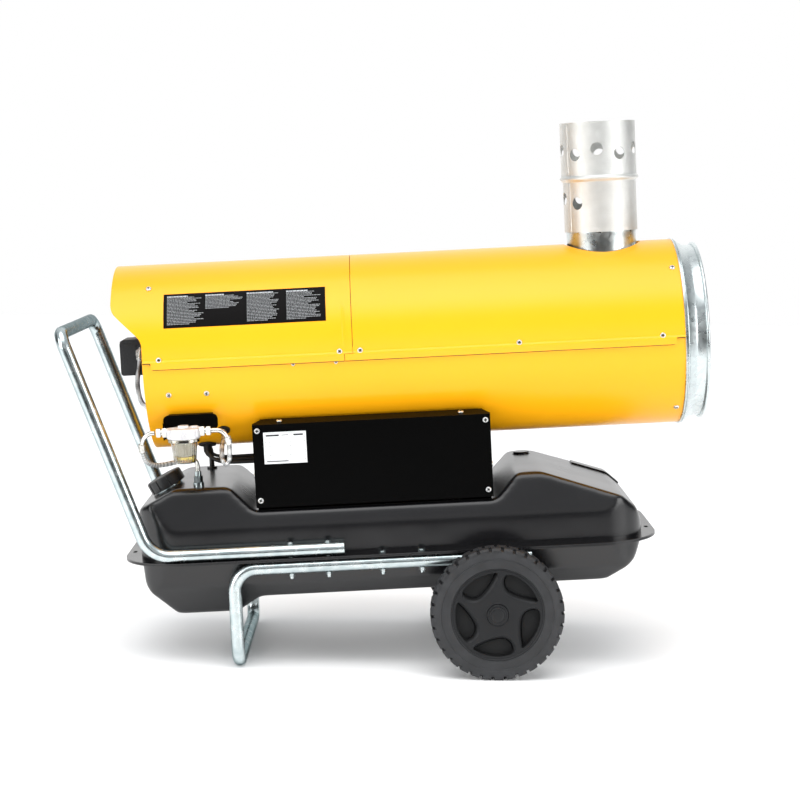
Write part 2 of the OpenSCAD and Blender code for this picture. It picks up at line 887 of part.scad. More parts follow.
// The filler stands square on the slanted rear face
slope_angle = atan2(hump_h - slope_h, slope_end + wall_x);
filler_x = -376;
filler_y = -45;
filler_h = slope_h + (filler_x + wall_x) * tan(slope_angle);
neck_up = 16;
neck_wall = 2;
module at_filler() {
    translate([filler_x, filler_y, filler_h])
        rotate([0, -slope_angle, 0])
            children();
}
suction_at = [-319, -110, hump_h];
return_at = [-315, 104, hump_h];
pickup_d = 10;
module tank_upper() {
    color(satin_black)
        place()
            difference() {
                union() {
                    tank_shell(upper_side, upper_cross, 1);
                    translate([238, 40, hump_h - 1])
                        cylinder(h = 3.5, d = 28);
                }
                at_filler()
                    translate([0, 0, -30])
                        cylinder(h = 70, d = filler_d);
                for (p = [suction_at, return_at])
                    translate([p[0], p[1], p[2] - 20])
                        cylinder(h = 40, d = pickup_d);
            }
}
drain_at = [-316, -60];
drain_d = 14;
module tank_lower() {
    color(satin_black)
        place()
            difference() {
                tank_shell(lower_side, lower_cross, -1);
                translate([drain_at[0], drain_at[1], -sump_depth - 5])
                    cylinder(h = 20, d = drain_d);
            }
}
module filler_neck() {
    color(steel)
        place()
            at_filler()
                translate([0, 0, -10])
                    difference() {
                        cylinder(h = neck_up + 10, d = filler_d);
                        translate([0, 0, -1])
                            cylinder(h = neck_up + 12, d = filler_d - 2 * neck_wall);
                    }
}
seal_t = 2.5;
cap_fit = 0.8;
cap_top = 5;
cap_skirt = 13;
cap_grips = 24;
module filler_seal() {
    color(rubber_black)
        place()
            at_filler()
                translate([0, 0, neck_up + 0.3])
                    difference() {
                        cylinder(h = seal_t, d = filler_d + 0.6);
                        translate([0, 0, -1])
                            cylinder(h = seal_t + 2, d = filler_d - 14);
                    }
}
module filler_cap() {
    color(rubber_black)
        place()
            at_filler()
                translate([0, 0, neck_up + 0.3 + seal_t + 0.3 - cap_skirt])
                    difference() {
                        cylinder(h = cap_skirt + cap_top, d = cap_d);
                        translate([0, 0, -1])
                            cylinder(h = cap_skirt + 1, d = filler_d + 2 * cap_fit);
                        for (i = [0:cap_grips - 1])
                            rotate([0, 0, i * 360 / cap_grips])
                                translate([cap_d / 2 + 0.6, 0, -1])
                                    cylinder(h = cap_skirt + cap_top + 2, d = 3, $fn = 16);
                    }
}
module drain_plug() {
    color(steel)
        place()
            translate([drain_at[0], drain_at[1], -sump_depth]) {
                translate([0, 0, -5])
                    cylinder(h = 5, d = 22, $fn = 6);
                cylinder(h = 8, d = drain_d);
            }
}
module suction_fitting() {
    color(zinc)
        place()
            translate(suction_at)
                difference() {
                    union() {
                        cylinder(h = 6, d = 18);
                        translate([0, 0, 6])
                            cylinder(h = 11, d = 15, $fn = 6);
                        translate([0, 0, 17])
                            cylinder(h = 8, d = 11);
                        translate([0, 0, -180])
                            cylinder(h = 182, d = pickup_d);
                    }
                    translate([0, 0, -182])
                        cylinder(h = 200, d = pickup_d - 3);
                }
}
module return_fitting() {
    color(zinc)
        place()
            translate(return_at)
                difference() {
                    union() {
                        cylinder(h = 3, d = 18);
                        cylinder(h = 24 - hose_fit, d = 9);
                        translate([0, 0, -20])
                            cylinder(h = 22, d = pickup_d);
                    }
                    translate([0, 0, -22])
                        cylinder(h = 40, d = 6);
                }
}

// Fuel filter on its bracket at the casing's near side
head_low = 209;
head_h = 19;
bracket_x = [filter_x - 36, filter_x + 55];
bracket_h = [205, 245];
bracket_y = -filter_y + filter_d / 2 + 1;
bracket_t = 2;
union_h = head_low + 11;
module filter_bracket() {
    touch_y = -sqrt(shell_r * shell_r - (bracket_h[1] - axis_h) * (bracket_h[1] - axis_h));
    plate = [
        [bracket_x[0], bracket_h[0], 3], [bracket_x[1], bracket_h[0] + 16, 5], [bracket_x[1], bracket_h[1], 9],
        [bracket_x[0], bracket_h[1], 9]
    ];
    color(satin_black)
        place()
            difference() {
                union() {
                    along_y(bracket_y, bracket_y + bracket_t)
                        polygon(rounded(plate));
                    block(bracket_x[0] + 9, bracket_x[1] - 9, bracket_y, touch_y + 3, bracket_h[1] - bracket_t, bracket_h[1]);
                    block(bracket_x[0], bracket_x[0] + bracket_t, bracket_y - 9, bracket_y + 1, bracket_h[0], bracket_h[1] - 12);
                }
                along_x(bracket_x[0] - 5, bracket_x[1] + 5, axis_h)
                    circle(shell_r, $fn = 128);
            }
}
module filter_head() {
    r = filter_d / 2;
    color("#d9dcde")
        place()
            translate([filter_x, -filter_y, head_low])
                difference() {
                    union() {
                        cylinder(h = head_h - 4, d = filter_d);
                        block(-r, r, -r + 9, bracket_y + filter_y, 2, head_h - 2);
                        cylinder(h = head_h + 3, d = 20, $fn = 6);
                        translate([18, 2, 0])
                            cylinder(h = head_h + 1, d = 14);
                        translate([-17, 2, 0])
                            cylinder(h = head_h - 1, d = 12);
                    }
                    translate([0, 0, -1])
                        cylinder(h = 9, d = filter_d - 12);
                    for (side = sides)
                        translate([side > 0 ? r - 8 : -r - 1, 0, union_h - head_low])
                            rod_x(0, 9, 10);
                }
}
bowl_h = 41;
bowl_wall = 2;
module filter_bowl() {
    r = filter_d / 2 - 2;
    outline = [
        [0, -bowl_h], [r - 9, -bowl_h], [r - 6, -bowl_h + 3], [r - 3, -5], [r, -5], [r, 0], [r - 4 - bowl_wall, 0],
        [r - 6 - bowl_wall, -bowl_h + 5], [0, -bowl_h + 3]
    ];
    color("#d8cfa0")
        place()
            translate([filter_x, -filter_y, head_low])
                rotate_extrude()
                    polygon(outline);
}
module filter_element() {
    color("#cfc9ba")
        place()
            translate([filter_x, -filter_y, head_low - bowl_h + 12])
                difference() {
                    union() {
                        cylinder(h = bowl_h - 12 + 8, d = 22);
                        for (i = [0:15])
                            rotate([0, 0, i * 22.5])
                                translate([10, -0.8, 0])
                                    cube([4, 1.6, bowl_h - 14]);
                    }
                    translate([0, 0, 2])
                        cylinder(h = bowl_h, d = 14);
                }
}
module filter_unions() {
    r = filter_d / 2;
    color("#d2c8a8")
        place()
            for (side = sides)
                translate([filter_x + side * (r - 8), -filter_y, union_h])
                    rotate([0, side * 90, 0])
                        difference() {
                            union() {
                                cylinder(h = 10, d = 8);
                                translate([0, 0, 8])
                                    cylinder(h = 7, d = 15, $fn = 6);
                                cylinder(h = 26, d = 10);
                                translate([0, 0, 16])
                                    cylinder(h = 9, d = 14, $fn = 6);
                            }
                            translate([0, 0, -1])
                                cylinder(h = 22, d = 4);
                        }
}
union_tip = filter_d / 2 - 8 + 26;

// Grommets in the lower shell: [x, angle, side, bore]
grommet_rim = 3;
grommet_fit = 0.3;
hose_bore = hose_d + 1;
grommet_places = [[-272, -50, near, hose_bore], [-326, -64, far, hose_bore], [-306, -72, near, 17]];
module grommets() {
    color(rubber_black)
        place()
            for (g = grommet_places)
                on_casing(g[0], g[1], g[2])
                    translate([0, 0, -2 * sheet])
                        difference() {
                            union() {
                                translate([0, 0, sheet + grommet_fit])
                                    cylinder(h = 3, d = g[3] + 4 * grommet_rim);
                                translate([0, 0, -4])
                                    cylinder(h = 3, d = g[3] + 4 * grommet_rim);
                                translate([0, 0, -2])
                                    cylinder(h = sheet + 3, d = g[3] + 2 * grommet_rim - grommet_fit);
                            }
                            translate([0, 0, -10])
                                cylinder(h = 20, d = g[3]);
                        }
}

// Hose and cable routes through hand set points
suction_route = [
    [filter_x - union_tip, -filter_y, union_h], [-389, -177, 219], [-399, -175, 211], [-403, -172, 199],
    [-402, -170, 186], [-398, -166, 173], [-388, -160, 165], [-372, -150, 163], [-350, -136, 165],
    [-332, -120, 167], [-322, -112, 162], [suction_at[0], suction_at[1], 152], [suction_at[0], suction_at[1], 144]
];
supply_route = [
    [filter_x + union_tip, -filter_y, union_h], [-272, -177, 219], [-263, -175, 211], [-259, -172, 198],
    [-259, -169, 180], [-260, -166, 168], [-266, -163, 161], [-272, -158, 168], [-273, -150, 182],
    [-273, -138, 190], [-272, -122, 197], [-272, -109, 204], [-272, -102, 212], [-272, -95, 220],
    [-279, -90, 234], [-305, -92, 244], [-350, -102, 250], [-391, -109, 255], [-408, -102, 266],
    [-415, -84, 296], [-412, -66, 326], [pump_port[0], pump_port[1] - 10, pump_port[2] - 1], pump_port
];
return_route = [
    [return_at[0], return_at[1], hump_h + 24], [-315, 104, 150], [-317, 100, 158], [-322, 88, 167], [-326, 77, 174],
    [-326, 74, 182], [-326, 69, 191], [-326, 65, 200], [-332, 56, 214], [-352, 47, 222], [-391, 45, 224],
    [-408, 46, 236], [-414, 47, 270], [-412, 44, 305], [return_port[0], 42, return_port[2]], return_port
];
module suction_hose() {
    color("#c7ccce")
        place()
            cord(suction_route, hose_d, [0.2, 1, 0.15]);
}
module supply_hose() {
    color("#c7ccce")
        place()
            cord(supply_route, hose_d, [0.25, 1, 0.35]);
}
module return_hose() {
    color(rubber_black)
        place()
            cord(return_route, hose_d, [1, 0.1, 0.3]);
}
cable_d = 6;
cable_routes = [
    [
        [-297, -10, 273], [-298, -12, 258], [-302, -30, 222], [-302, -44, 194], [-302, -48, 181], [-302, -52, 170],
        [-293, -56, 163], [-276, -59, 160], [-248, -60, 160], [-218, -60, 160], [-190, -60, 158]
    ],
    [
        [-297, -1, 273], [-299, -4, 258], [-309, -28, 220], [-310, -44, 194], [-310, -48, 181], [-310, -52, 170],
        [-300, -61, 160], [-282, -67, 156], [-250, -70, 156], [-218, -70, 156], [-190, -70, 155]
    ],
    [
        [-297, -19, 273], [-299, -21, 258], [-305, -40, 222], [-306, -50, 196], [-306, -54, 183], [-306, -58, 172],
        [-298, -67, 160], [-280, -76, 153], [-250, -80, 152], [-218, -80, 152], [-190, -80, 151]
    ]
];
module cable_bundle() {
    color(rubber_black)
        place()
            for (route = cable_routes)
                cord(route, cable_d, [0.2, 1, 0.2]);
}

// Base: a sheet steel box between the tank's saddle and the casing
box_front = box_rear + box_len;
base_low = saddle_h;
cover_gap = 0.3;
cover_low = saddle_h + 5;
lip_depth = 27;
end_rear = box_rear + 3;
end_front = box_front - 3;
base_y = box_half_w - box_sheet - cover_gap;
wall_top = box_top - box_sheet - 1;
panel_y = base_y - box_sheet;
module end_wall(x) {
    difference() {
        block(x, x + box_sheet, -base_y, base_y, base_low, wall_top);
        along_x(x - 1, x + box_sheet + 1, axis_h)
            circle(shell_r, $fn = 128);
    }
}
control_x = 40;
switch_x = -120;
control_h = 140;
switch_h = 150;
gland_x = 120;
gland_h = 125;
gland_d = 20;
switch_w = 30;
switch_tall = 22;
button_d = 12;
module box_base() {
    color(satin_black)
        place()
            difference() {
                union() {
                    block(end_rear, end_front, -base_y, base_y, base_low, base_low + box_sheet);
                    end_wall(end_rear);
                    end_wall(end_front - box_sheet);
                    block(end_rear, end_front, panel_y, base_y, base_low, wall_top);
                    difference() {
                        block(end_rear, end_front, base_y - 45, base_y, wall_top - box_sheet, wall_top);
                        along_x(end_rear - 1, end_front + 1, axis_h)
                            circle(shell_r, $fn = 128);
                    }
                }
                translate([control_x, 0, control_h])
                    rod_y(panel_y - 5, base_y + 5, button_d + 1);
                block(switch_x - switch_w / 2, switch_x + switch_w / 2, panel_y - 5, base_y + 5,
                    switch_h - switch_tall / 2, switch_h + switch_tall / 2);
                translate([gland_x, 0, gland_h])
                    rod_y(panel_y - 5, base_y + 5, gland_d);
                for (i = [0:2])
                    translate([0, -60 - 10 * i, 160 - 4 * i])
                        rod_x(end_rear - 5, end_rear + 5, cable_d + 2);
                for (x = [end_rear, end_front])
                    translate([0, -base_y + 18, 136])
                        rod_x(x - 5, x + 5, screw_hole);
            }
}
cover_screw_x = [box_rear + 8, box_front - 8];
cover_screw_h = [cover_low + 12, box_top - 10];
module box_cover() {
    side_lip = 26;
    cover_side = [[box_rear, cover_low, 0], [box_front, cover_low, 0], [box_front, box_top, 5], [box_rear, box_top, 5]];
    top_lip = [
        [-box_half_w, box_top - 3, 0], [-box_half_w + box_sheet, box_top - 3, 0],
        [-box_half_w + lip_depth, box_top + 5, 0], [-box_half_w + lip_depth, box_top + 6.5, 0], [-box_half_w, box_top, 0]
    ];
    color(satin_black)
        place()
            difference() {
                union() {
                    along_y(-box_half_w, -box_half_w + box_sheet)
                        polygon(rounded(cover_side));
                    intersection() {
                        along_x(box_rear, box_front)
                            polygon([for (c = top_lip) flat(c)]);
                        translate([(box_rear + box_front) / 2, -box_half_w + 60, 0])
                            linear_extrude(400)
                                polygon([
                                    [-box_len / 2, -60], [box_len / 2, -60], [box_len / 2, -54], [box_len / 2 - 12, -36],
                                    [box_len / 2 - 12, 0], [-box_len / 2 + 12, 0], [-box_len / 2 + 12, -36], [-box_len / 2, -54]
                                ]);
                    }
                    for (x = [box_rear, box_front - box_sheet])
                        block(x, x + box_sheet, -box_half_w, -box_half_w + side_lip, cover_low, box_top - 5);
                }
                for (x = cover_screw_x)
                    for (h = cover_screw_h)
                        translate([x, 0, h])
                            rod_y(-box_half_w - 5, -box_half_w + 5, screw_hole);
                for (x = [box_rear, box_front])
                    translate([0, -base_y + 18, 136])
                        rod_x(x - 5, x + 5, screw_hole);
            }
}
module cover_screws() {
    color(zinc)
        place()
            union() {
                for (x = cover_screw_x)
                    for (h = cover_screw_h)
                        translate([x, -box_half_w + lip_rise, h])
                            rotate([90, 0, 0])
                                pan_screw(8, 4);
                for (s = sides)
                    translate([s > 0 ? box_front - lip_rise : box_rear + lip_rise, -base_y + 18, 136])
                        rotate([0, s * 90, 0])
                            pan_screw(8, 4);
            }
}
plate_x = [-202, -131];
plate_h = [157, 210];
module rating_plate() {
    color("#d5d8da")
        place()
            block(plate_x[0], plate_x[1], -box_half_w - 0.6, -box_half_w, plate_h[0], plate_h[1]);
}
module ignition_unit() {
    floor_h = base_low + box_sheet;
    color("#2f3136")
        place()
            union() {
                block(-190, -90, -92, -32, floor_h, floor_h + 84);
                for (y = [-75, -57])
                    translate([-150, y, floor_h + 80])
                        cylinder(h = 16, d = 12);
                block(-200, -80, -80, -44, floor_h, floor_h + 3);
            }
}
module burner_control() {
    color("#55585c")
        place()
            difference() {
                block(control_x - 50, control_x + 30, panel_y - 60, panel_y, control_h - 32, control_h + 32);
                translate([control_x, 0, control_h])
                    rod_y(panel_y - 14, panel_y + 1, button_d + 1);
            }
}
button_travel = 3;
module reset_button() {
    color("#b3261e")
        place()
            translate([control_x, 0, control_h])
                union() {
                    rod_y(panel_y - 14 + button_travel + 1, base_y + 5, button_d);
                }
}
bezel = 3;
pivot_d = 3;
module switch_housing() {
    w = switch_w / 2;
    t = switch_tall / 2;
    color(rubber_black)
        place()
            translate([switch_x, 0, switch_h])
                difference() {
                    union() {
                        block(-w - bezel, w + bezel, base_y, base_y + 2, -t - bezel, t + bezel);
                        block(-w, w, panel_y - 20, base_y + 1, -t, t);
                    }
                    block(-w + 3, w - 3, base_y - 14, base_y + 5, -t + 3, t - 3);
                    translate([0, base_y - 4, 0])
                        cylinder(h = switch_tall + 8, d = pivot_d + 0.1, center = true);
                }
}
rocker_fit = 0.5;
module switch_rocker() {
    w = switch_w / 2 - 3 - rocker_fit;
    t = switch_tall / 2 - 3 - rocker_fit;
    color("#b3261e")
        place()
            translate([switch_x, base_y - 4, switch_h])
                union() {
                    translate([0, 0, -t])
                        linear_extrude(2 * t)
                            polygon([[-w + 1, -1], [0, -4], [w - 1, -1], [w - 0.6, 4], [0, 6.5], [-w + 0.6, 4]]);
                    cylinder(h = switch_tall - 2, d = pivot_d, center = true);
                }
}
module cable_gland() {
    color(rubber_black)
        place()
            translate([gland_x, 0, gland_h])
                difference() {
                    union() {
                        rod_y(panel_y - 9, base_y + 12, gland_d);
                        translate([0, base_y, 0])
                            rotate([-90, 0, 0])
                                cylinder(h = 6, d = 28, $fn = 6);
                        translate([0, panel_y - 6, 0])
                            rotate([-90, 0, 0])
                                cylinder(h = 6, d = 28, $fn = 6);
                        translate([0, base_y + 6, 0])
                            rotate([-90, 0, 0])
                                cylinder(h = 12, d1 = 24, d2 = 17);
                    }
                    rod_y(panel_y - 12, base_y + 20, 10);
                }
}

// Bent tube frame: straight runs and quarter bends of one tube
bolt_hole = bolt_d + 0.4;
bolt_pitch = 62;
rail_bolts = [-166, -166 + bolt_pitch];
leg_bolts = [-14, -14 + 65];
bolt_places = concat(rail_bolts, leg_bolts);
// A straight rod from the origin along +x, that reaches a little into the bends at its ends
bend_lap = 0.4;
bend_slack = 0.02;
module tube_run(len, radius) {
    translate([-bend_lap, 0, 0])
        rotate([0, 90, 0])
            cylinder(h = len + 2 * bend_lap, r = radius);
}
// A bend of the same rod that starts at the origin along +x and turns towards +z
module tube_bend(r, angle, radius) {
    translate([0, 0, r])
        rotate([90, 0, 0])
            rotate([0, 0, -90])
                rotate_extrude(angle = angle)
                    translate([r, 0])
                        circle(radius - bend_slack);
}
module after_bend(r, angle) {
    translate([r * sin(angle), 0, r * (1 - cos(angle))])
        rotate([0, -angle, 0])
            children();
}
half_span = tube_span / 2;
handle_bend = 50;
grip_bend = 26;
leg_bend = 38;
foot_bend = 24;
// Half of the handle as a solid rod, over is how far it sticks out of its open end
module handle_half(radius, over = 0) {
    turn = 90 - handle_rake;
    low_cut = handle_bend * tan(turn / 2);
    rail_len = handle_front - handle_x - low_cut;
    translate([handle_front, -half_span, rail_h])
        rotate([0, 0, 180]) {
            translate([-over, 0, 0])
                tube_run(rail_len + over, radius);
            translate([rail_len, 0, 0]) {
                tube_bend(handle_bend, turn, radius);
                after_bend(handle_bend, turn) {
                    tube_run(handle_len - low_cut - grip_bend, radius);
                    translate([handle_len - low_cut - grip_bend, 0, 0])
                        rotate([90, 0, 0]) {
                            tube_bend(grip_bend, 90, radius);
                            after_bend(grip_bend, 90)
                                tube_run(half_span - grip_bend, radius);
                        }
                }
            }
        }
}
module bolt_holes(list) {
    for (x = list)
        for (s = sides)
            translate([x, s * half_span, -60])
                cylinder(h = 120, d = bolt_hole);
}
module both_sides() {
    children();
    mirror([0, 1, 0])
        children();
}
module handle() {
    color(zinc)
        place()
            difference() {
                both_sides()
                    handle_half(tube_r);
                both_sides()
                    handle_half(tube_r - tube_wall, 1);
                bolt_holes(rail_bolts);
            }
}
plate_t = 4;
axle_plate_half = 26;
module leg_half(radius, over = 0) {
    drop = -rail_h - leg_low;
    run = leg_front - leg_x - leg_bend;
    translate([leg_front, -half_span, -rail_h])
        rotate([180, 0, 180]) {
            translate([-over, 0, 0])
                tube_run(run + over, radius);
            translate([run, 0, 0]) {
                tube_bend(leg_bend, 90, radius);
                after_bend(leg_bend, 90) {
                    tube_run(drop - leg_bend - foot_bend, radius);
                    translate([drop - leg_bend - foot_bend, 0, 0])
                        rotate([-90, 0, 0]) {
                            tube_bend(foot_bend, 90, radius);
                            after_bend(foot_bend, 90)
                                tube_run(half_span - foot_bend, radius);
                        }
                }
            }
        }
}
module axle_plate() {
    along_y(-half_span - plate_t / 2, -half_span + plate_t / 2)
        polygon(rounded([
            [axle_x - axle_plate_half, -rail_h, 0], [axle_x - 16, -axle_drop - 14, 10],
            [axle_x + 16, -axle_drop - 14, 10], [axle_x + axle_plate_half, -rail_h, 0]
        ]));
}
module leg_frame() {
    color(zinc)
        place()
            difference() {
                both_sides() {
                    leg_half(tube_r);
                    axle_plate();
                }
                both_sides()
                    leg_half(tube_r - tube_wall, 1);
                bolt_holes(bolt_places);
                translate([axle_x, 0, -axle_drop])
                    rod_y(-half_span - 20, half_span + 20, axle_d);
            }
}
wheel_in = wheel_gap / 2;
wheel_out = wheel_in + wheel_w;
module axle() {
    color(zinc)
        place()
            translate([axle_x, 0, -axle_drop])
                rod_y(-wheel_out - 2, wheel_out + 2, axle_d);
}

// Wheels: a tyre on a moulded rim with five swept pockets, and a push-on hub cap
rim_seat_r = 77;
axle_fit = 0.1;
rim_pockets = 5;
pocket_depth = 9;
module at_wheel(side) {
    translate([axle_x, side * wheel_in, -axle_drop])
        rotate([-side * 90, 0, 0])
            children();
}
module tyre() {
    r = wheel_r;
    w = wheel_w;
    color(wheel_grey)
        rotate_extrude($fn = 96)
            polygon([
                [rim_seat_r, 3], [r - 10, 0], [r - 3, 6], [r, 12], [r, w - 12], [r - 3, w - 6], [r - 10, w],
                [rim_seat_r, w - 3]
            ]);
}
pocket = [[34, -13, 7], [64, -30, 0], [70, -6, 3], [62, 16, 6], [38, 12, 9]];
module rim() {
    w = wheel_w;
    color(wheel_grey)
        difference() {
            union() {
                rotate_extrude($fn = 96)
                    polygon([
                        [0, 8], [20, 4], [64, 8], [rim_seat_r, 5], [rim_seat_r, w - 5], [72, w - 2], [70, w - 7],
                        [24, w - 5], [22, w - 2], [0, w - 2]
                    ]);
            }
            for (i = [0:rim_pockets - 1])
                rotate([0, 0, 12 + i * 360 / rim_pockets])
                    translate([0, 0, w - 5 - pocket_depth])
                        linear_extrude(40)
                            polygon(rounded(pocket));
            translate([0, 0, -1])
                cylinder(h = w + 2, d = axle_d + 2 * axle_fit);
            translate([0, 0, w - 12])
                cylinder(h = 20, d = 34);
        }
}
module hub_cap() {
    w = wheel_w;
    color(wheel_grey)
        difference() {
            union() {
                translate([0, 0, w - 12])
                    cylinder(h = 14, d = 34);
                translate([0, 0, w + 2])
                    cylinder(h = 2.5, d = 26);
                translate([0, 0, w + 4.5])
                    cylinder(h = 1.5, d = 16);
            }
            translate([0, 0, w - 13])
                cylinder(h = 16.5, d = axle_d + 2 * axle_fit);
        }
}
module near_tyre() {
    place()
        at_wheel(near)
            tyre();
}
module near_rim() {
    place()
        at_wheel(near)
            rim();
}
module near_hub_cap() {
    place()
        at_wheel(near)
            hub_cap();
}
module far_tyre() {
    place()
        at_wheel(far)
            tyre();
}
module far_rim() {
    place()
        at_wheel(far)
            rim();
}
module far_hub_cap() {
    place()
        at_wheel(far)
            hub_cap();
}

// Bolts through handle, flanges and leg rail, and their nuts below
bolt_head_h = 4;
nut_h = 5;
module frame_bolts() {
    low = -flange_t - tube_d - nut_h - 4;
    color(zinc)
        place()
            for (x = bolt_places)
                for (s = sides)
                    translate([x, s * half_span, 0]) {
                        top = x < leg_bolts[0] ? flange_t + tube_d : flange_t;
                        translate([0, 0, low])
                            cylinder(h = top - low + 1, d = bolt_d);
                        translate([0, 0, top])
                            cylinder(h = bolt_head_h, d = 11, $fn = 6);
                    }
}
module frame_nuts() {
    color(zinc)
        place()
            for (x = bolt_places)
                for (s = sides)
                    translate([x, s * half_span, -flange_t - tube_d - nut_h])
                        difference() {
                            cylinder(h = nut_h, d = 11, $fn = 6);
                            translate([0, 0, -1])
                                cylinder(h = nut_h + 2, d = bolt_d);
                        }
}

lower_shell();
rear_upper_shell();
front_upper_shell();
outlet_spigot();
label_panel();
casing_screws();
combustion_chamber();
heat_exchanger();
flue_pipe();
blast_tube();
nozzle();
nozzle_line();
electrodes();
fan_motor();
motor_bracket();
motor_shaft();
fan();
intake_guard();
fuel_pump();
solenoid_valve();
tank_upper();
tank_lower();
filler_neck();
filler_seal();
filler_cap();
drain_plug();
suction_fitting();
return_fitting();
filter_bracket();
filter_head();
filter_bowl();
filter_element();
filter_unions();
suction_hose();
supply_hose();
return_hose();
grommets();
cable_bundle();
box_base();
box_cover();
cover_screws();
rating_plate();
ignition_unit();
burner_control();
reset_button();
switch_housing();
switch_rocker();
cable_gland();
handle();
leg_frame();
axle();
near_tyre();
near_rim();
near_hub_cap();
far_tyre();
far_rim();
far_hub_cap();
frame_bolts();
frame_nuts();
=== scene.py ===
# %% [markdown]
# # An indirect fired space heater
# A round yellow steel casing lies on a black fuel tank. A bent tube handle and leg carry the tank at one end,
# and two wheels at the other. The exact parts come from CAD and are loaded as a fixed frame. Blender gives them
# their finishes, and replaces the parts whose real shape is softer or finer than a CAD solid.

# %% Load the frame
import json
import math
import random

import bmesh
import bpy
from mathutils import Matrix, Vector


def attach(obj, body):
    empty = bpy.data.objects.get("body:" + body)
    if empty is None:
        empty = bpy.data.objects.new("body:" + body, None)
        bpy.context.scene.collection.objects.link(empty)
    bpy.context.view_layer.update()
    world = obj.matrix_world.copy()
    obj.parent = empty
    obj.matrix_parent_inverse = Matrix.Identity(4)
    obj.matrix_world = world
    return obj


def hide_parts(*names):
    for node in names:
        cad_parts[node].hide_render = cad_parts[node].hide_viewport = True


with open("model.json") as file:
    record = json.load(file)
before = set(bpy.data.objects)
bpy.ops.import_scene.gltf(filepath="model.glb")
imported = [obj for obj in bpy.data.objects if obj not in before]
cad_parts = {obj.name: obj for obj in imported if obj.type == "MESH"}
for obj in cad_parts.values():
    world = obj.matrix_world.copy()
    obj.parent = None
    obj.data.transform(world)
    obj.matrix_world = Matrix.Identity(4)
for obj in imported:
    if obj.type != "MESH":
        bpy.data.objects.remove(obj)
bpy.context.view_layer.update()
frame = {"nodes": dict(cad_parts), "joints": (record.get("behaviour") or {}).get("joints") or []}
random.seed(7)
nodes = frame["nodes"]
print("CAD nodes:", len(nodes))

# %% [markdown]
# The heater stands nose up on its short leg. It is easiest to model it level, in millimetres, with x along the
# casing and height 0 on the tank's seam. The fan's joint tells where the casing's axis is and how far it tilts,
# and from those two facts comes the one matrix that stands every level piece in its place.

# %% From level millimetres to the standing heater
def put(x, y, z):
    return Matrix.Translation((x, y, z))


def turned(degrees, axis):
    return Matrix.Rotation(math.radians(degrees), 4, axis)


fan_joint = next(j for j in frame["joints"] if j["name"] == "fan_spin")
tilt = math.atan2(fan_joint["axis"][2], fan_joint["axis"][0])
fan_x, axis_h = -240, 333
stand = (Matrix.Translation(Vector(fan_joint["pos_m"])) @ Matrix.Rotation(-tilt, 4, "Y")
         @ Matrix.Scale(0.001, 4) @ put(-fan_x, 0, -axis_h))
print("tilt in degrees:", round(math.degrees(tilt), 2))

# %% [markdown]
# The photograph was taken from about 3.5 m with a long lens, a little above the heater and turned slightly
# in its own plane. A camera is a matrix too: its columns are right, up and backwards, and its last is its place.

# %% Camera
def new_object(name, data):
    made = bpy.data.objects.new(name, data)
    bpy.context.scene.collection.objects.link(made)
    return made


rise, roll, lean = math.radians(6.05), math.radians(3.15), math.radians(4.0)
ahead = Vector((0, math.cos(rise), -math.sin(rise)))
over = Vector((0, math.sin(rise), math.cos(rise)))
right = math.cos(roll) * Vector((1, 0, 0)) - math.sin(roll) * over
up = math.sin(roll) * Vector((1, 0, 0)) + math.cos(roll) * over
sight = Matrix((right, up, -ahead)).transposed().to_4x4()
distance, aim = 3.48, stand @ Vector((28, 0, 236))
sight.translation = -distance * ahead
camera_data = bpy.data.cameras.new("studio_camera")
camera_data.lens = 90
camera_data.sensor_width = 36
camera = new_object("studio_camera", camera_data)
camera.matrix_world = Matrix.Translation(aim) @ Matrix.Rotation(-lean, 4, "Y") @ sight
bpy.context.scene.camera = camera
print("camera at", [round(c, 3) for c in camera.matrix_world.translation])

# %% [markdown]
# Every material is a few nodes. Small helpers keep them readable. One turns a hex colour, as a paint chart gives
# it, into the linear numbers that light is computed with. One adds a node with its settings and links. One
# starts an empty finish, and one wires its shader last, once the nodes that feed it are there.

# %% Helpers for materials
def linear(hex_colour):
    channels = [int(hex_colour[i:i + 2], 16) / 255 for i in (1, 3, 5)]
    return (*(c / 12.92 if c <= 0.04045 else ((c + 0.055) / 1.055) ** 2.4 for c in channels), 1)


def add(tree, kind, inputs, stops=(), **settings):
    """Adds a node. An input is a value, a socket, or a node whose first output counts. stops are a ramp's
    positions and hex colours."""
    node = tree.nodes.new("ShaderNode" + kind)
    for name, value in settings.items():
        setattr(node, name, value)
    for name, value in inputs.items():
        if isinstance(value, bpy.types.Node):
            value = value.outputs[0]
        if isinstance(value, bpy.types.NodeSocket):
            tree.links.new(value, node.inputs[name])
        else:
            node.inputs[name].default_value = value
    for i, (position, colour) in enumerate(stops):
        stop = node.color_ramp.elements[i] if i < 2 else node.color_ramp.elements.new(1)
        stop.position, stop.color = position, linear(colour)
    return node


def blank_finish(name):
    """A new material, its empty node tree and the point in metres that its patterns read."""
    print("finish:", name)
    material = bpy.data.materials.new(name)
    material.use_nodes = True
    material.node_tree.nodes.clear()
    return material, material.node_tree, add(material.node_tree, "TexCoord", {}).outputs["Object"]


def shade(tree, inputs):
    add(tree, "OutputMaterial", {"Surface": add(tree, "BsdfPrincipled", inputs)})

# %% [markdown]
# The casing is powder coated: dry paint powder baked on steel. It gives a deep even colour under a slightly
# uneven gloss, the orange peel, whose dimples are about 1.5 mm apart. The rolled sheet itself is never quite
# flat either, so a second, very broad wave bends the reflections a little.

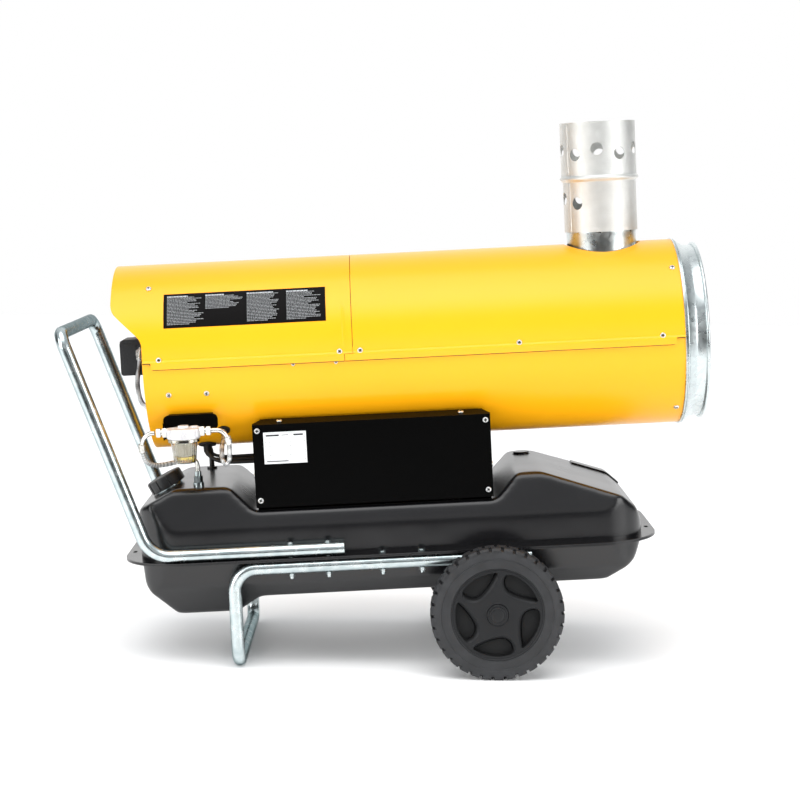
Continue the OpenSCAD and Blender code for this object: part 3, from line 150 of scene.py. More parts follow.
# %% Yellow powder coat
yellow_paint, tree, point = blank_finish("powder_coat_yellow")
peel = add(tree, "TexNoise", {"Vector": point, "Scale": 650, "Detail": 2})
wave = add(tree, "TexNoise", {"Vector": point, "Scale": 7, "Detail": 1})
tint = add(tree, "TexNoise", {"Vector": point, "Scale": 3, "Detail": 2})
sheet_bump = add(tree, "Bump", {"Height": wave, "Strength": 0.12, "Distance": 0.004})
peel_bump = add(tree, "Bump", {"Height": peel, "Strength": 0.05, "Distance": 0.0005, "Normal": sheet_bump})
colour = add(tree, "ValToRGB", {"Fac": tint}, ((0.3, "#F0A60D"), (0.7, "#F2AA11")))
shade(tree, {"Base Color": colour, "Normal": peel_bump, "Roughness": 0.3, "IOR": 1.4})

# %% [markdown]
# Galvanized sheet is steel dipped in zinc. The zinc freezes in crystals, the spangle, about 8 mm across here,
# each turned its own way and so each of its own brightness. A slow noise bends the cells' straight borders, and
# clouds the zinc as handling does.

# %% Galvanized sheet
galvanized, tree, point = blank_finish("galvanized_sheet")
warp = add(tree, "TexNoise", {"Vector": point, "Scale": 120, "Detail": 2}).outputs["Color"]
shift = add(tree, "VectorMath", {0: warp, "Scale": 0.006}, operation="SCALE")
bent = add(tree, "VectorMath", {0: point, 1: shift}, operation="ADD")
spangle = add(tree, "TexVoronoi", {"Vector": bent, "Scale": 125}).outputs["Color"]
grey = add(tree, "SeparateColor", {"Color": spangle})
cloud = add(tree, "TexNoise", {"Vector": point, "Scale": 14, "Detail": 3})
mixed = add(tree, "Math", {0: grey, 1: cloud}, operation="MULTIPLY")
colour = add(tree, "ValToRGB", {"Fac": mixed}, ((0.05, "#CBD3D4"), (0.6, "#DCE4E4")))
rough = add(tree, "MapRange", {"Value": grey, "To Min": 0.26, "To Max": 0.34})
ripple = add(tree, "Bump", {"Height": cloud, "Strength": 0.12, "Distance": 0.002})
shade(tree, {"Base Color": colour, "Roughness": rough, "Normal": ripple, "Metallic": 1})

# %% [markdown]
# The flue pipe is rolled from brushed steel. Its grain lines run round it, a few tenths of a millimetre apart,
# and smear every reflection up and down. They are noise that changes fast along the pipe and hardly at all round
# it, laid on coordinates that are first turned back by the heater's tilt.

# %% Brushed flue steel
flue_steel, tree, point = blank_finish("brushed_flue_steel")
level = add(tree, "Mapping", {"Vector": point, "Rotation": (0, tilt, 0)})
lines = add(tree, "Mapping", {"Vector": level, "Scale": (12, 12, 2600)})
grain = add(tree, "TexNoise", {"Vector": lines, "Scale": 1, "Detail": 2})
cloud = add(tree, "TexNoise", {"Vector": level, "Scale": 30, "Detail": 3})
colour = add(tree, "ValToRGB", {"Fac": cloud}, ((0.3, "#D8D9D6"), (0.7, "#E6E7E4")))
bump = add(tree, "Bump", {"Height": grain, "Strength": 0.9, "Distance": 0.0003})
shade(tree, {"Base Color": colour, "Normal": bump, "Metallic": 0.85, "Roughness": 0.48})

# %% [markdown]
# The tank wears a satin black paint on pressed steel, smoother than the casing's coat. Dust on it breaks up both
# its colour and its gloss, and a broad wave is the mark of the press.

# %% Satin black paint
satin_black, tree, point = blank_finish("satin_black_paint")
dust = add(tree, "TexNoise", {"Vector": point, "Scale": 9, "Detail": 4})
press = add(tree, "TexNoise", {"Vector": point, "Scale": 12, "Detail": 1})
colour = add(tree, "ValToRGB", {"Fac": dust}, ((0.3, "#09090B"), (0.75, "#0F0F11")))
rough = add(tree, "MapRange", {"Value": dust, "To Min": 0.22, "To Max": 0.3})
bump = add(tree, "Bump", {"Height": press, "Strength": 0.15, "Distance": 0.004})
shade(tree, {"Base Color": colour, "Roughness": rough, "Normal": bump, "IOR": 1.58})

# %% [markdown]
# The hoses wear a braid of fine steel wire. The tube's own coordinates run round it and along it, so two sets of
# bands at opposite slants, multiplied, give the plait, about 1.2 mm wide, as colour and as bump.

# %% Braided steel hose
steel_braid, tree, point = blank_finish("braided_steel_wire")
around = add(tree, "SeparateXYZ", {0: add(tree, "UVMap", {})}).outputs
bands_round = 20
turns = add(tree, "Math", {0: around["X"], 1: bands_round}, operation="MULTIPLY")
steps = add(tree, "Math", {0: around["Y"], 1: bands_round}, operation="MULTIPLY")
bands = []
for slant in ("ADD", "SUBTRACT"):
    phase = add(tree, "Math", {0: add(tree, "Math", {0: turns, 1: steps}, operation=slant), 1: math.pi},
                operation="MULTIPLY")
    bands.append(add(tree, "Math", {0: phase}, operation="SINE"))
plait = add(tree, "Math", {0: bands[0], 1: bands[1]}, operation="MULTIPLY")
share = add(tree, "MapRange", {"Value": plait, "From Min": -1})
colour = add(tree, "ValToRGB", {"Fac": share}, ((0.1, "#6E7072"), (0.55, "#F0F1F1")))
bump = add(tree, "Bump", {"Height": share, "Strength": 0.7, "Distance": 0.0004})
shade(tree, {"Base Color": colour, "Normal": bump, "Metallic": 1, "Roughness": 0.34,
             "Specular Tint": linear("#6A6A66")})

# %% [markdown]
# Most other finishes are one noise each: it moves the colour between two or three near shades, and it may also
# raise a fine grain or vary the gloss. So one function makes them, and each line names the real finish and what
# it gives the eye. A plated metal's edge tint is darker than its face, which draws round pieces' outlines.

# %% Metals
def mottled(name, colours, scale, detail=3, at=(0.3, 0.7), bump=None, rough=None, **values):
    """A finish with spots 1 / scale metres wide. bump is a strength and a height in metres, and rough the
    roughness of the darkest and of the lightest spots."""
    material, tree, point = blank_finish(name)
    spots = add(tree, "TexNoise", {"Vector": point, "Scale": scale, "Detail": detail})
    inputs = {key.replace("_", " "): value for key, value in values.items()}
    inputs["Base Color"] = add(tree, "ValToRGB", {"Fac": spots}, zip(at, colours))
    if rough:
        inputs["Roughness"] = add(tree, "MapRange", {"Value": spots, "To Min": rough[0], "To Max": rough[1]})
    if bump:
        inputs["Normal"] = add(tree, "Bump", {"Height": spots, "Strength": bump[0], "Distance": bump[1]})
    shade(tree, inputs)
    return material


# A thin bluish layer, almost a mirror, with faint streaks from the drawn steel below.
zinc_plate = mottled("bright_zinc_plate", ("#B9C7C9", "#DAE3E4"), 60, rough=(0.2, 0.32), Metallic=1,
                     Specular_Tint=linear("#7E888A"))
# The same plate on screw heads, matt from the barrel that they are plated in.
zinc_heads = mottled("zinc_screw_heads", ("#DADCDC", "#F1F2F1"), 300, Metallic=1, Roughness=0.36)
# Die cast metal keeps the mould's fine cloudy skin.
cast_aluminium = mottled("die_cast_aluminium", ("#DCDBDD", "#F0EFF0"), 400, 4, bump=(0.3, 0.0004), Metallic=0.7,
                         Roughness=0.5, Specular_Tint=linear("#808080"))
# Nickel on brass is a warm white mirror that yellows where it wears.
plated_brass = mottled("nickel_plated_brass", ("#D9D2BC", "#E4E2DA"), 150, at=(0.35, 0.6), Metallic=1,
                       Roughness=0.2, Specular_Tint=linear("#6A6A66"))
# Bright nickel on the pipe ends and nuts is whiter and a little duller.
nickel = mottled("bright_nickel", ("#D8D7D1", "#EDECE8"), 150, at=(0.35, 0.65), Metallic=0.85, Roughness=0.22,
                 Specular_Tint=linear("#6A6A66"))
# Drawn brass has brown patches of tarnish.
brass = mottled("drawn_brass", ("#9C7A35", "#C9A457"), 90, Metallic=1, Roughness=0.28)
# Steel near the flame is tinted from straw brown to blue.
bare_steel = mottled("heat_tinted_steel", ("#7C6C5E", "#8F8B88", "#777F8C"), 10, 4, at=(0.3, 0.5, 0.75),
                     Metallic=1, Roughness=0.4)
# Pressed aluminium sheet is an even soft grey.
fan_aluminium = mottled("pressed_aluminium", ("#A9ADB0", "#C9CCCE"), 70, 4, Metallic=1, Roughness=0.35)
# Printed foil is nearly white, with a trace of metal.
silver_plate = mottled("silver_printed_foil", ("#D6D8D9", "#E4E6E7"), 500, 2, Metallic=0.15, Roughness=0.45)

# %% Wheels, base box and clear bowl
# Fine textured powder coat, matt with a tiny grain.
matt_black = mottled("matt_black_powder", ("#010101", "#050505"), 1400, 2, bump=(0.25, 0.0003), Roughness=0.42,
                     IOR=1.33, Specular_IOR_Level=0.1)
# Polypropylene takes the fine spark grain of its mould.
wheel_plastic = mottled("moulded_wheel_grey", ("#121315", "#17181A"), 1100, 2, bump=(0.15, 0.0003),
                        Roughness=0.48, IOR=1.45, Specular_IOR_Level=0.36)
# Rubber is rougher and carries patches of dust.
tyre_rubber = mottled("tyre_rubber", ("#191A1C", "#232427"), 45, 5, at=(0.35, 0.75), bump=(0.2, 0.0006),
                      Roughness=0.6, IOR=1.52)
# Clear styrene, very slightly hazy, and the amber fuel that stands in it.
clear_bowl = mottled("clear_bowl_plastic", ("#F4F2E6", "#FCFBF6"), 120, Roughness=0.06, IOR=1.57,
                     Transmission_Weight=1)
fuel_oil = mottled("amber_fuel", ("#C9B23A", "#E2CF62"), 160, 2, at=(0.35, 0.65), Roughness=0, IOR=1.46,
                   Transmission_Weight=1)

# %% Paints, rubber, plastics and print of the small parts
def speckled(name, dark, light, roughness, scale, height, ior=1.5, level=0.5):
    """A plain moulded or painted finish with a fine grain, height metres high."""
    return mottled(name, (dark, light), scale, bump=(0.3, height), Roughness=roughness, IOR=ior,
                   Specular_IOR_Level=level)


motor_paint = speckled("motor_enamel", "#26282B", "#303236", 0.4, 500, 0.0003)  # glossy, slightly uneven
pump_grey = speckled("pump_casting_grey", "#1B1C1E", "#26272A", 0.5, 350, 0.0004)  # coarse painted casting
black_rubber = speckled("black_rubber", "#101011", "#1A1A1B", 0.62, 700, 0.0003, 1.52)  # dull
black_plastic = speckled("black_nylon", "#121213", "#1A1A1C", 0.42, 900, 0.0002, 1.53)  # satin
grey_plastic = speckled("grey_polycarbonate", "#4E5155", "#5A5D61", 0.45, 900, 0.0002, 1.58)  # satin
red_plastic = speckled("red_polycarbonate", "#9E1C17", "#B8271F", 0.35, 700, 0.0002, 1.58)  # deep and glossy
panel_film = speckled("black_label_film", "#060505", "#0A0909", 0.55, 600, 0.0001, 1.3, 0.2)  # flat, very dark
pale_ink = speckled("pale_print", "#B4B6B8", "#CDCFD1", 0.5, 600, 0.00005, 1.48)  # opaque light ink
grey_ink = speckled("grey_print", "#747678", "#8C8E90", 0.5, 600, 0.00005, 1.48)  # the same ink, thinner
dark_ink = speckled("dark_print", "#242527", "#343537", 0.5, 600, 0.00005, 1.48)  # opaque dark ink
ceramic = speckled("glazed_ceramic", "#DAD5C8", "#ECE8DE", 0.22, 200, 0.0002, 1.55)  # glassy and creamy
filter_paper = speckled("pleated_filter_paper", "#C9C6BC", "#DEDBD2", 0.8, 900, 0.0003, 1.45)  # dry fibres
pocket_grain_and_shade = speckled("coarse_mould_grain_and_painted_shade", "#08090A", "#0D0E0F", 0.75, 420, 0.0005, 1.45)  # painted shade of the wheel pockets: dark, with the mould's grain and no gloss
recess_painted_shade = speckled("screw_recess_painted_shade", "#161616", "#232323", 0.7, 800, 0.0001, 1.45)  # painted shade in the cross recess, dull

# %% [markdown]
# Each CAD part that already has its right shape only needs its finish. This table names one for every node.

# %% Finishes of the CAD parts
finish_of = {
    yellow_paint: "lower_shell rear_upper_shell front_upper_shell",
    galvanized: "outlet_spigot flue_pipe",
    panel_film: "label_panel",
    zinc_plate: "casing_screws cover_screws handle leg_frame axle frame_bolts frame_nuts motor_shaft drain_plug"
                " suction_fitting filler_neck",
    bare_steel: "combustion_chamber heat_exchanger blast_tube",
    brass: "nozzle nozzle_line",
    ceramic: "electrodes",
    motor_paint: "fan_motor",
    satin_black: "tank_upper tank_lower motor_bracket intake_guard",
    matt_black: "box_base box_cover filter_bracket",
    fan_aluminium: "fan suction_hose supply_hose",
    pump_grey: "fuel_pump",
    black_plastic: "return_fitting solenoid_valve filler_cap cable_gland switch_housing ignition_unit",
    black_rubber: "filler_seal return_hose grommets cable_bundle",
    cast_aluminium: "filter_head",
    clear_bowl: "filter_bowl",
    filter_paper: "filter_element",
    plated_brass: "filter_unions",
    silver_plate: "rating_plate",
    grey_plastic: "burner_control",
    red_plastic: "reset_button switch_rocker",
    tyre_rubber: "near_tyre far_tyre",
    wheel_plastic: "near_rim far_rim near_hub_cap far_hub_cap",
}
for material, names in finish_of.items():
    for name in names.split():
        nodes[name].data.materials.clear()
        nodes[name].data.materials.append(material)
print("nodes without a finish:", sorted(set(nodes) - set(" ".join(finish_of.values()).split())))



def soften(made, width, segments, angle):
    """Rounds the edges that turn by more than angle degrees. width is in metres."""
    rounding = made.modifiers.new("soft_edges", "BEVEL")
    rounding.width, rounding.segments = width, segments
    rounding.limit_method, rounding.angle_limit = "ANGLE", math.radians(angle)
    rounding.harden_normals = True


# A bevel needs the corners of neighbouring faces to be one, so these boxed parts are welded first.
for name in ("box_cover", "box_base", "solenoid_valve", "filter_bracket", "switch_housing", "ignition_unit",
             "burner_control"):
    weld = nodes[name].modifiers.new("weld", "WELD")
    weld.merge_threshold = 0.00002
    soften(nodes[name], 0.0007, 3, 40)

# %% Helpers for pieces
def piece(name, bm, material, body="heater", replaces=(), crisp=35, bevel=0):
    """An object from a level bmesh. crisp is the angle in degrees past which an edge stays sharp."""
    mesh = bpy.data.meshes.new(name)
    moved(bm, stand).to_mesh(mesh)
    bm.free()
    for face in mesh.polygons:
        face.use_smooth = True
    mesh.set_sharp_from_angle(angle=math.radians(crisp))
    for each in material if isinstance(material, (list, tuple)) else [material]:
        mesh.materials.append(each)
    made = new_object(name, mesh)
    if bevel:
        soften(made, bevel / 1000, 2, crisp)
    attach(made, body)
    if replaces:
        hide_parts(*replaces)
    print(f"{name}: {len(mesh.polygons)} faces")
    return made


def spun(outline, steps=64):
    """Spins a (radius, height) outline about z. It closes on itself unless both its ends lie on the axis."""
    bm = bmesh.new()
    on_axis = outline[0][0] == outline[-1][0] == 0
    verts = [bm.verts.new((r, 0, z)) for r, z in outline + ([] if on_axis else outline[:1])]
    edges = [bm.edges.new(pair) for pair in zip(verts, verts[1:])]
    bmesh.ops.spin(bm, geom=verts + edges, cent=(0, 0, 0), axis=(0, 0, 1), angle=math.tau, steps=steps,
                   use_merge=True)
    bmesh.ops.remove_doubles(bm, verts=bm.verts, dist=0.001)
    bmesh.ops.recalc_face_normals(bm, faces=bm.faces)
    return bm


def moved(bm, matrix):
    bmesh.ops.transform(bm, matrix=matrix, verts=bm.verts)
    return bm

# %% [markdown]
# ## Wheels
# The tyre is a ring with two rows of chunky lugs that wrap from the tread onto the sidewall. The ring is an
# outline spun about the axle. Then every face of a lug is picked by its place in the ring and extruded
# outwards, which leaves the grooves between them at their old depth, as the mould does.

# %% Tyre
lugs, steps_per_lug, tread_r, groove_low, groove_high = 34, 4, 109.95, 23, 25


def tyre_shape():
    bm = spun([(77, 3.5), (84, 1.5), (95, 1.0), (97, 0.6), (98.5, 1.8), (102.5, 4), (105, 8), (105.2, 15),
               (105.2, groove_low), (105.2, groove_high), (105.2, 33), (105, 40), (102.5, 43.6), (98.5, 45.8),
               (95, 46.8), (93.4, 47.4), (92.2, 47.2), (91.6, 46), (84, 45.6), (80, 46.2), (77, 45.5)],
              lugs * steps_per_lug)
    rows = {"outer": [], "inner": []}
    for face in bm.faces:
        place = face.calc_center_median()
        turn = math.atan2(place.y, place.x) / (math.tau / lugs) % 1
        if math.hypot(place.x, place.y) > 101:
            if place.z > groove_high and turn < 0.75:
                rows["outer"].append(face)
            if place.z < groove_low and not 0.25 <= turn < 0.5:
                rows["inner"].append(face)
    for row in rows.values():
        made = bmesh.ops.extrude_face_region(bm, geom=row)["geom"]
        bmesh.ops.delete(bm, geom=row, context="FACES_ONLY")
        for vert in (v for v in made if isinstance(v, bmesh.types.BMVert)):
            r = math.hypot(vert.co.x, vert.co.y)
            vert.co.xy *= (tread_r if r > 104 else r + 4.2) / r
    bmesh.ops.recalc_face_normals(bm, faces=bm.faces)
    return bm


# %% [markdown]
# The rim is moulded in one with five swept pockets. Each pocket's outline is a smooth curve through points read
# from the wheel. The flat face of the rim is filled between its edge, the hub and the five outlines, and each
# outline is then extruded down in steps: a bright lip, a sloping edge, the wall and a slightly dished floor. The
# walls and floors take a darker finish, which is painted shade of the deep pockets.

# %% Rim
def closed_curve(points, count):
    """A smooth closed line through the points, with count steps between each two."""
    line = []
    for i in range(len(points)):
        a, b, c, d = (Vector(points[(i + k) % len(points)]) for k in (-1, 0, 1, 2))
        for k in range(count):
            t = k / count
            line.append(0.5 * (2 * b + (c - a) * t + (2 * a - 5 * b + 4 * c - d) * t * t
                               + (3 * b - a - 3 * c + d) * t ** 3))
    return line


def outward(line, amount):
    """The closed line moved outwards by amount(point)."""
    along = [line[(i + 1) % len(line)] - line[i - 1] for i in range(len(line))]
    return [p + Vector((a.y, -a.x, 0)).normalized() * amount(p) for p, a in zip(line, along)]


def ring_of(bm, line, height):
    verts = [bm.verts.new((p.x, p.y, height)) for p in line]
    return [bm.edges.new((verts[i - 1], verts[i])) for i in range(len(verts))]


def drawn(bm, edge, rings):
    """Bridges from a loop of edges to each (line, height) in turn, and returns the last loop."""
    for line, height in rings:
        following = ring_of(bm, line, height)
        bmesh.ops.bridge_loops(bm, edges=edge + following)
        edge = following
    return edge


def circle(r, steps):
    return [Vector((r * math.cos(math.tau * k / steps), r * math.sin(math.tau * k / steps), 0))
            for k in range(steps)]


pocket_points = [(66.5, 19.2), (64.5, 27), (60.2, 35.3), (52.4, 46.6), (43.2, 55.8), (32.4, 62.6), (23, 65.6),
                 (15.4, 62.6), (11.4, 54), (12.3, 43.8), (16.4, 36.6), (22.8, 31.6), (31, 27.4), (40, 23.9),
                 (49, 21.2), (59, 19.2)]
# Each step down into a pocket: its share of the flange's width, its shift outwards, its height, and 1 where it
# is painted shade.
pocket_steps = [(1, -0.6, 0.5, 0), (1, -1.3, -0.1, 0), (0, 0.35, -2.2, 0), (0, 0, -2.6, 1), (-0.5, 0, -14, 1),
                (-0.6, 0, -14.6, 1), (-0.75, 0, -12.6, 0), (-0.9, 0, -12.2, 0), (-1.05, 0, -12.6, 1),
                (-1.15, 0, -13.6, 1)]
face_z, rim_steps, hub_steps = 43.2, 120, 60


def flange(p):
    """The lip round a pocket is widest towards the hub."""
    return 0.6 + 3.6 * min(1, max(0, (70.4 - p.length) / 8))


def rim_shape():
    bm = bmesh.new()
    rim_edge = ring_of(bm, circle(73.5, rim_steps), face_z)
    hub_edge = ring_of(bm, circle(19.5, hub_steps), face_z)
    face_edges = rim_edge + hub_edge
    for k in range(5):
        turn = Matrix.Rotation(math.radians(72 * k), 3, "Z")
        line = [turn @ p for p in closed_curve([(*p, 0) for p in pocket_points], 5)]
        edge = ring_of(bm, outward(line, flange), face_z)
        face_edges += edge
        # Steps marked 1 take the second finish, painted shade of the deep pocket.
        for share, shift, z, dark in pocket_steps:
            following = ring_of(bm, outward(line, lambda p: share * flange(p) + shift), face_z + z)
            for face in bmesh.ops.bridge_loops(bm, edges=edge + following)["faces"]:
                face.material_index = dark
            edge = following
        bmesh.ops.holes_fill(bm, edges=edge, sides=0)
        floor_face = max(edge[0].link_faces, key=lambda f: len(f.verts))
        dished = bmesh.ops.poke(bm, faces=[floor_face])
        dished["verts"][0].co.z += 1.2
        # The dished floor takes the painted shade too.
        for face in dished["faces"]:
            face.material_index = 1
    bmesh.ops.triangle_fill(bm, edges=face_edges, use_beauty=True)
    bore = drawn(bm, hub_edge, [(circle(r, hub_steps), face_z + z)
                                for r, z in ((18.6, 0.7), (18.3, 0.6), (18.0, -7), (8.1, -7))])
    back = drawn(bm, rim_edge, [(circle(r, rim_steps), z) for r, z in (
        (74.3, face_z + 1.2), (75.6, face_z + 1.9), (76.9, face_z + 1.5), (76.9, 5), (70, 7), (60, 9))])
    back = drawn(bm, back, [(circle(r, hub_steps), 5) for r in (20, 8.1)])
    bmesh.ops.bridge_loops(bm, edges=back + bore)
    bmesh.ops.remove_doubles(bm, verts=bm.verts, dist=0.001)
    bmesh.ops.recalc_face_normals(bm, faces=bm.faces)
    return bm


def cap_shape():
    return spun([(0, 37), (8.2, 37), (16.6, 36.8), (17.4, 37.4), (17.6, 46.2), (17.0, 46.9), (14.6, 47.4),
                 (14.2, 47.9), (13.9, 50.6), (13.2, 51.2), (11.0, 51.3), (10.6, 51.7), (10.3, 52.9), (9.6, 53.4),
                 (6.5, 53.6), (0, 53.7)])


# %% [markdown]
# Both wheels are the same mould, so each shape is made anew for each side and turned to face outwards.

# %% Place the wheels
wheel_x, wheel_y, wheel_h = 170, 205, -98.5
for side, way in (("near", -1), ("far", 1)):
    seat = (put(wheel_x, way * wheel_y, wheel_h)
            @ turned(-90 * way, "X"))
    for part, shape, material, slot in (("tyre", tyre_shape, tyre_rubber, "tyre"),
                                        ("rim", rim_shape, [wheel_plastic, pocket_grain_and_shade], "rim_plastic"),
                                        ("hub_cap", cap_shape, wheel_plastic, "rim_plastic")):
        piece(f"{side}_{part}_moulded", moved(shape(), seat), material, f"{side}_wheel",
              [f"{side}_{part}"], bevel=0.7 if part == "tyre" else 0)

# %% [markdown]
# ## Casing
# Each upper panel is one rolled sheet. A flat grid is laid over the cylinder row by row, so that rows can follow
# the joggle, where the sheet steps out over the lower shell, and the first column can follow the slanted cowl.
# The faces that the real blank lacks at its corners are deleted, and solidify then gives the sheet its 1.2 mm.

# %% Helpers for sheets and solids
def laid_grid(columns, rows, place_of):
    """A grid whose vertex in column i and row j lies at place_of(columns[i], rows[j])."""
    bm = bmesh.new()
    bmesh.ops.create_grid(bm, x_segments=len(columns) - 1, y_segments=len(rows) - 1, size=1)
    for vert in bm.verts:
        i = round((vert.co.x + 1) / 2 * (len(columns) - 1))
        j = round((vert.co.y + 1) / 2 * (len(rows) - 1))
        vert.co = place_of(columns[i], rows[j])
    return bm


def rounded(corners, steps=8, closed=True):
    """The outline through (x, y, radius) corners, each rounded by its radius."""
    line = []
    for i, (x, y, r) in enumerate(corners):
        here = Vector((x, y))
        if r <= 0 or (not closed and i in (0, len(corners) - 1)):
            line.append(here)
            continue
        before = (Vector(corners[i - 1][:2]) - here).normalized()
        after = (Vector(corners[(i + 1) % len(corners)][:2]) - here).normalized()
        half = before.angle(after) / 2
        centre = here + (before + after).normalized() * r / math.sin(half)
        start, end = here + before * r / math.tan(half) - centre, here + after * r / math.tan(half) - centre
        turn = start.angle_signed(end)
        line += [centre + Matrix.Rotation(-turn * k / steps, 2) @ start for k in range(steps + 1)]
    return line


def prism(outline, axis, low, high):
    """A solid from a closed outline, drawn out from low to high along axis x, y or z."""
    bm = bmesh.new()
    at = {"x": lambda p: (low, p.x, p.y), "y": lambda p: (p.x, low, p.y), "z": lambda p: (p.x, p.y, low)}[axis]
    face = bm.faces.new([bm.verts.new(at(p)) for p in outline])
    top = bmesh.ops.extrude_face_region(bm, geom=[face])["geom"]
    along = Vector([high - low if axis == each else 0 for each in "xyz"])
    bmesh.ops.translate(bm, verts=[v for v in top if isinstance(v, bmesh.types.BMVert)], vec=along)
    bmesh.ops.recalc_face_normals(bm, faces=bm.faces)
    return bm


def temporary(bm):
    mesh = bpy.data.meshes.new("temporary")
    bm.to_mesh(mesh)
    bm.free()
    return new_object("temporary", mesh)


def modified(bm, *modifiers):
    """The bmesh after modifiers, each a kind and its settings. A bmesh as a setting becomes an object."""
    used = [temporary(bm)]
    for kind, settings in modifiers:
        modifier = used[0].modifiers.new(kind, kind)
        for name, value in settings.items():
            if isinstance(value, bmesh.types.BMesh):
                value = temporary(value)
                used.append(value)
            setattr(modifier, name, value)
    result = bmesh.new()
    result.from_object(used[0], bpy.context.evaluated_depsgraph_get())
    for each in used:
        bpy.data.objects.remove(each)
    return result


def joined(*parts):
    """Several closed bmeshes as one."""
    bm = bmesh.new()
    for part in parts:
        mesh = bpy.data.meshes.new("part")
        part.to_mesh(mesh)
        part.free()
        bm.from_mesh(mesh)
        bpy.data.meshes.remove(mesh)
    return bm


def boolean(tool, operation="DIFFERENCE"):
    return "BOOLEAN", {"operation": operation, "object": tool, "solver": "EXACT"}


def rod(r, length, matrix, segments=64):
    """A cylinder about the matrix's z, its middle at the matrix's place."""
    bm = bmesh.new()
    bmesh.ops.create_cone(bm, cap_ends=True, segments=segments, radius1=r, radius2=r, depth=length,
                          matrix=matrix)
    return bm

# %% Upper panels
panel_r, sheet, joggle, seam, rib_x, flue_x = 159, 1.2, 2.4, -46, -60.5, 389
# The rows' heights over the axis lie close together where the joggle and the cowl's corner curve.
heights = [-10, -9.4, -5, 0.6, 1.3, 2.0, 2.8, 3.6, 4.4, 5.2, 6, 10, 15, 20, 25, 30, 34, 38, 42, 46, 50, 55, 60,
           66, 72, 78, 83, 87, 90, 93, 96, 99, 102, 106, 111, 117, 123, 129]
near_rows = [math.degrees(math.asin(h / panel_r)) for h in heights] + [58, 62, 66, 70, 74, 78, 82, 86]
rows = near_rows + [90] + [180 - a for a in reversed(near_rows)]
# The casing's rear end, seen from the side, as x and the height over the axis.
cowl_edge = rounded([(-395.5, -20, 0), (-395.5, 38, 26), (-447, 88, 28), (-447, 150, 0)], 12, closed=False)


def cowl_x(h):
    for low, high in zip(cowl_edge, cowl_edge[1:]):
        if low.y <= h <= high.y:
            return low.x + (high.x - low.x) * (h - low.y) / max(high.y - low.y, 1e-6)
    return cowl_edge[0].x if h < 0 else cowl_edge[-1].x


def skin(x, angle, rib=0.9):
    """A point of the panels' outside. The joggle steps the lip out, and a short rib stands left of the seam."""
    h = panel_r * math.sin(math.radians(angle))
    step = min(1, max(0, (6 - h) / 5.4))
    rise = min(1, max(0, (h - 16) / 6)) * min(1, max(0, (86 - h) / 8))
    r = panel_r + joggle * step * step * (3 - 2 * step) + rib * rise * math.exp(-((x - rib_x) / 1.7) ** 2)
    return Vector((x, -r * math.cos(math.radians(angle)), axis_h + r * math.sin(math.radians(angle))))


def rear_place(column, angle):
    edge = cowl_x(panel_r * math.sin(math.radians(angle)))
    return skin(column if column > -382.5 else edge + (-382 - edge) * (column + 400) / 18, angle)


def low_on(face, x_low, x_high, top=1.0):
    middle = face.calc_center_median()
    return x_low < middle.x < x_high and middle.z < axis_h + top


def as_sheet(bm, absent, notch_x, notch):
    """Deletes the absent faces, slants the notch in the lip's end and gives the rest its thickness, inwards."""
    for vert in bm.verts:
        if vert.co.z < axis_h - 9.8 and abs(vert.co.x - notch_x) < 0.1:
            vert.co.x += notch
    bmesh.ops.delete(bm, geom=[f for f in bm.faces if absent(f)], context="FACES")
    bmesh.ops.recalc_face_normals(bm, faces=bm.faces)
    if sum(f.normal.dot(f.calc_center_median() - Vector((f.calc_center_median().x, 0, axis_h)))
           for f in bm.faces) < 0:
        bmesh.ops.reverse_faces(bm, faces=bm.faces)
    return modified(bm, ("SOLIDIFY", {"thickness": sheet, "offset": -1}))


rear_columns = ([-400, -396, -391, -386, -382, -378] + list(range(-360, -70, 15))
                + [-66, -64.5, -63.5, -62.5, -61.5, -60.5, -59.5, -58.5, -57, -55, -50, seam - 0.5])
bm = as_sheet(laid_grid(rear_columns, rows, rear_place),
              lambda f: low_on(f, -450, -382) or low_on(f, -61, 0, 1.8), -382, 4)
piece("rear_panel_rolled", bm, yellow_paint, replaces=["rear_upper_shell"], bevel=0.3)

front_columns = ([-59.6, -55, -50, seam + 0.5, -40] + list(range(-20, 300, 20)) + list(range(305, 480, 7))
                 + [484, 491, 506])
bm = as_sheet(laid_grid(front_columns, rows, lambda x, angle: skin(x, angle, 0)),
              lambda f: low_on(f, 491, 510) or (f.calc_center_median().x < seam and not low_on(f, -70, 0)),
              491, -4)
bm = modified(bm, boolean(rod(65.5, 120, put(flue_x, 0, axis_h + 160), 96)))
piece("front_panel_rolled", bm, yellow_paint, replaces=["front_upper_shell"], bevel=0.3)

# %% [markdown]
# ## Outlet, flue and stub
# These are spun from rolled sheet, so each is one profile turned about its axis. The flue pipe's air holes are
# punched afterwards with a Boolean. Its lock seam is a narrow folded strip that runs up the left side.

# %% Outlet and flue
def arc(radius, height, size, start, end, steps=10):
    """Points on a circle of that size round (radius, height), from angle start to end in degrees."""
    angles = [math.radians(start + (end - start) * k / steps) for k in range(steps + 1)]
    return [(radius + size * math.cos(a), height + size * math.sin(a)) for a in angles]


outlet = spun([(156.6, -24), (156.6, -0.2), (160.4, -0.2), (161, 0.4), (161, 1.6), (160.4, 2), (158, 2.1),
               (157.2, 2.8), (157.2, 3.8), (158, 4.3), (159, 4.6), (159.2, 5.4), (158.8, 6.2), (157.6, 6.6),
               (156.4, 7.6), (149.2, 19), (148.2, 20.6), (147.8, 22), (147.5, 34.6)]
              + arc(149.5, 39, 3, 232, 500, 18) + [(146, 37.4), (146, 20), (155.2, 2), (155.2, -24)], 160)
outlet_axis = put(506, 0, axis_h) @ turned(90, "Y")
piece("outlet_rolled", moved(outlet, outlet_axis), galvanized, replaces=["outlet_spigot"])

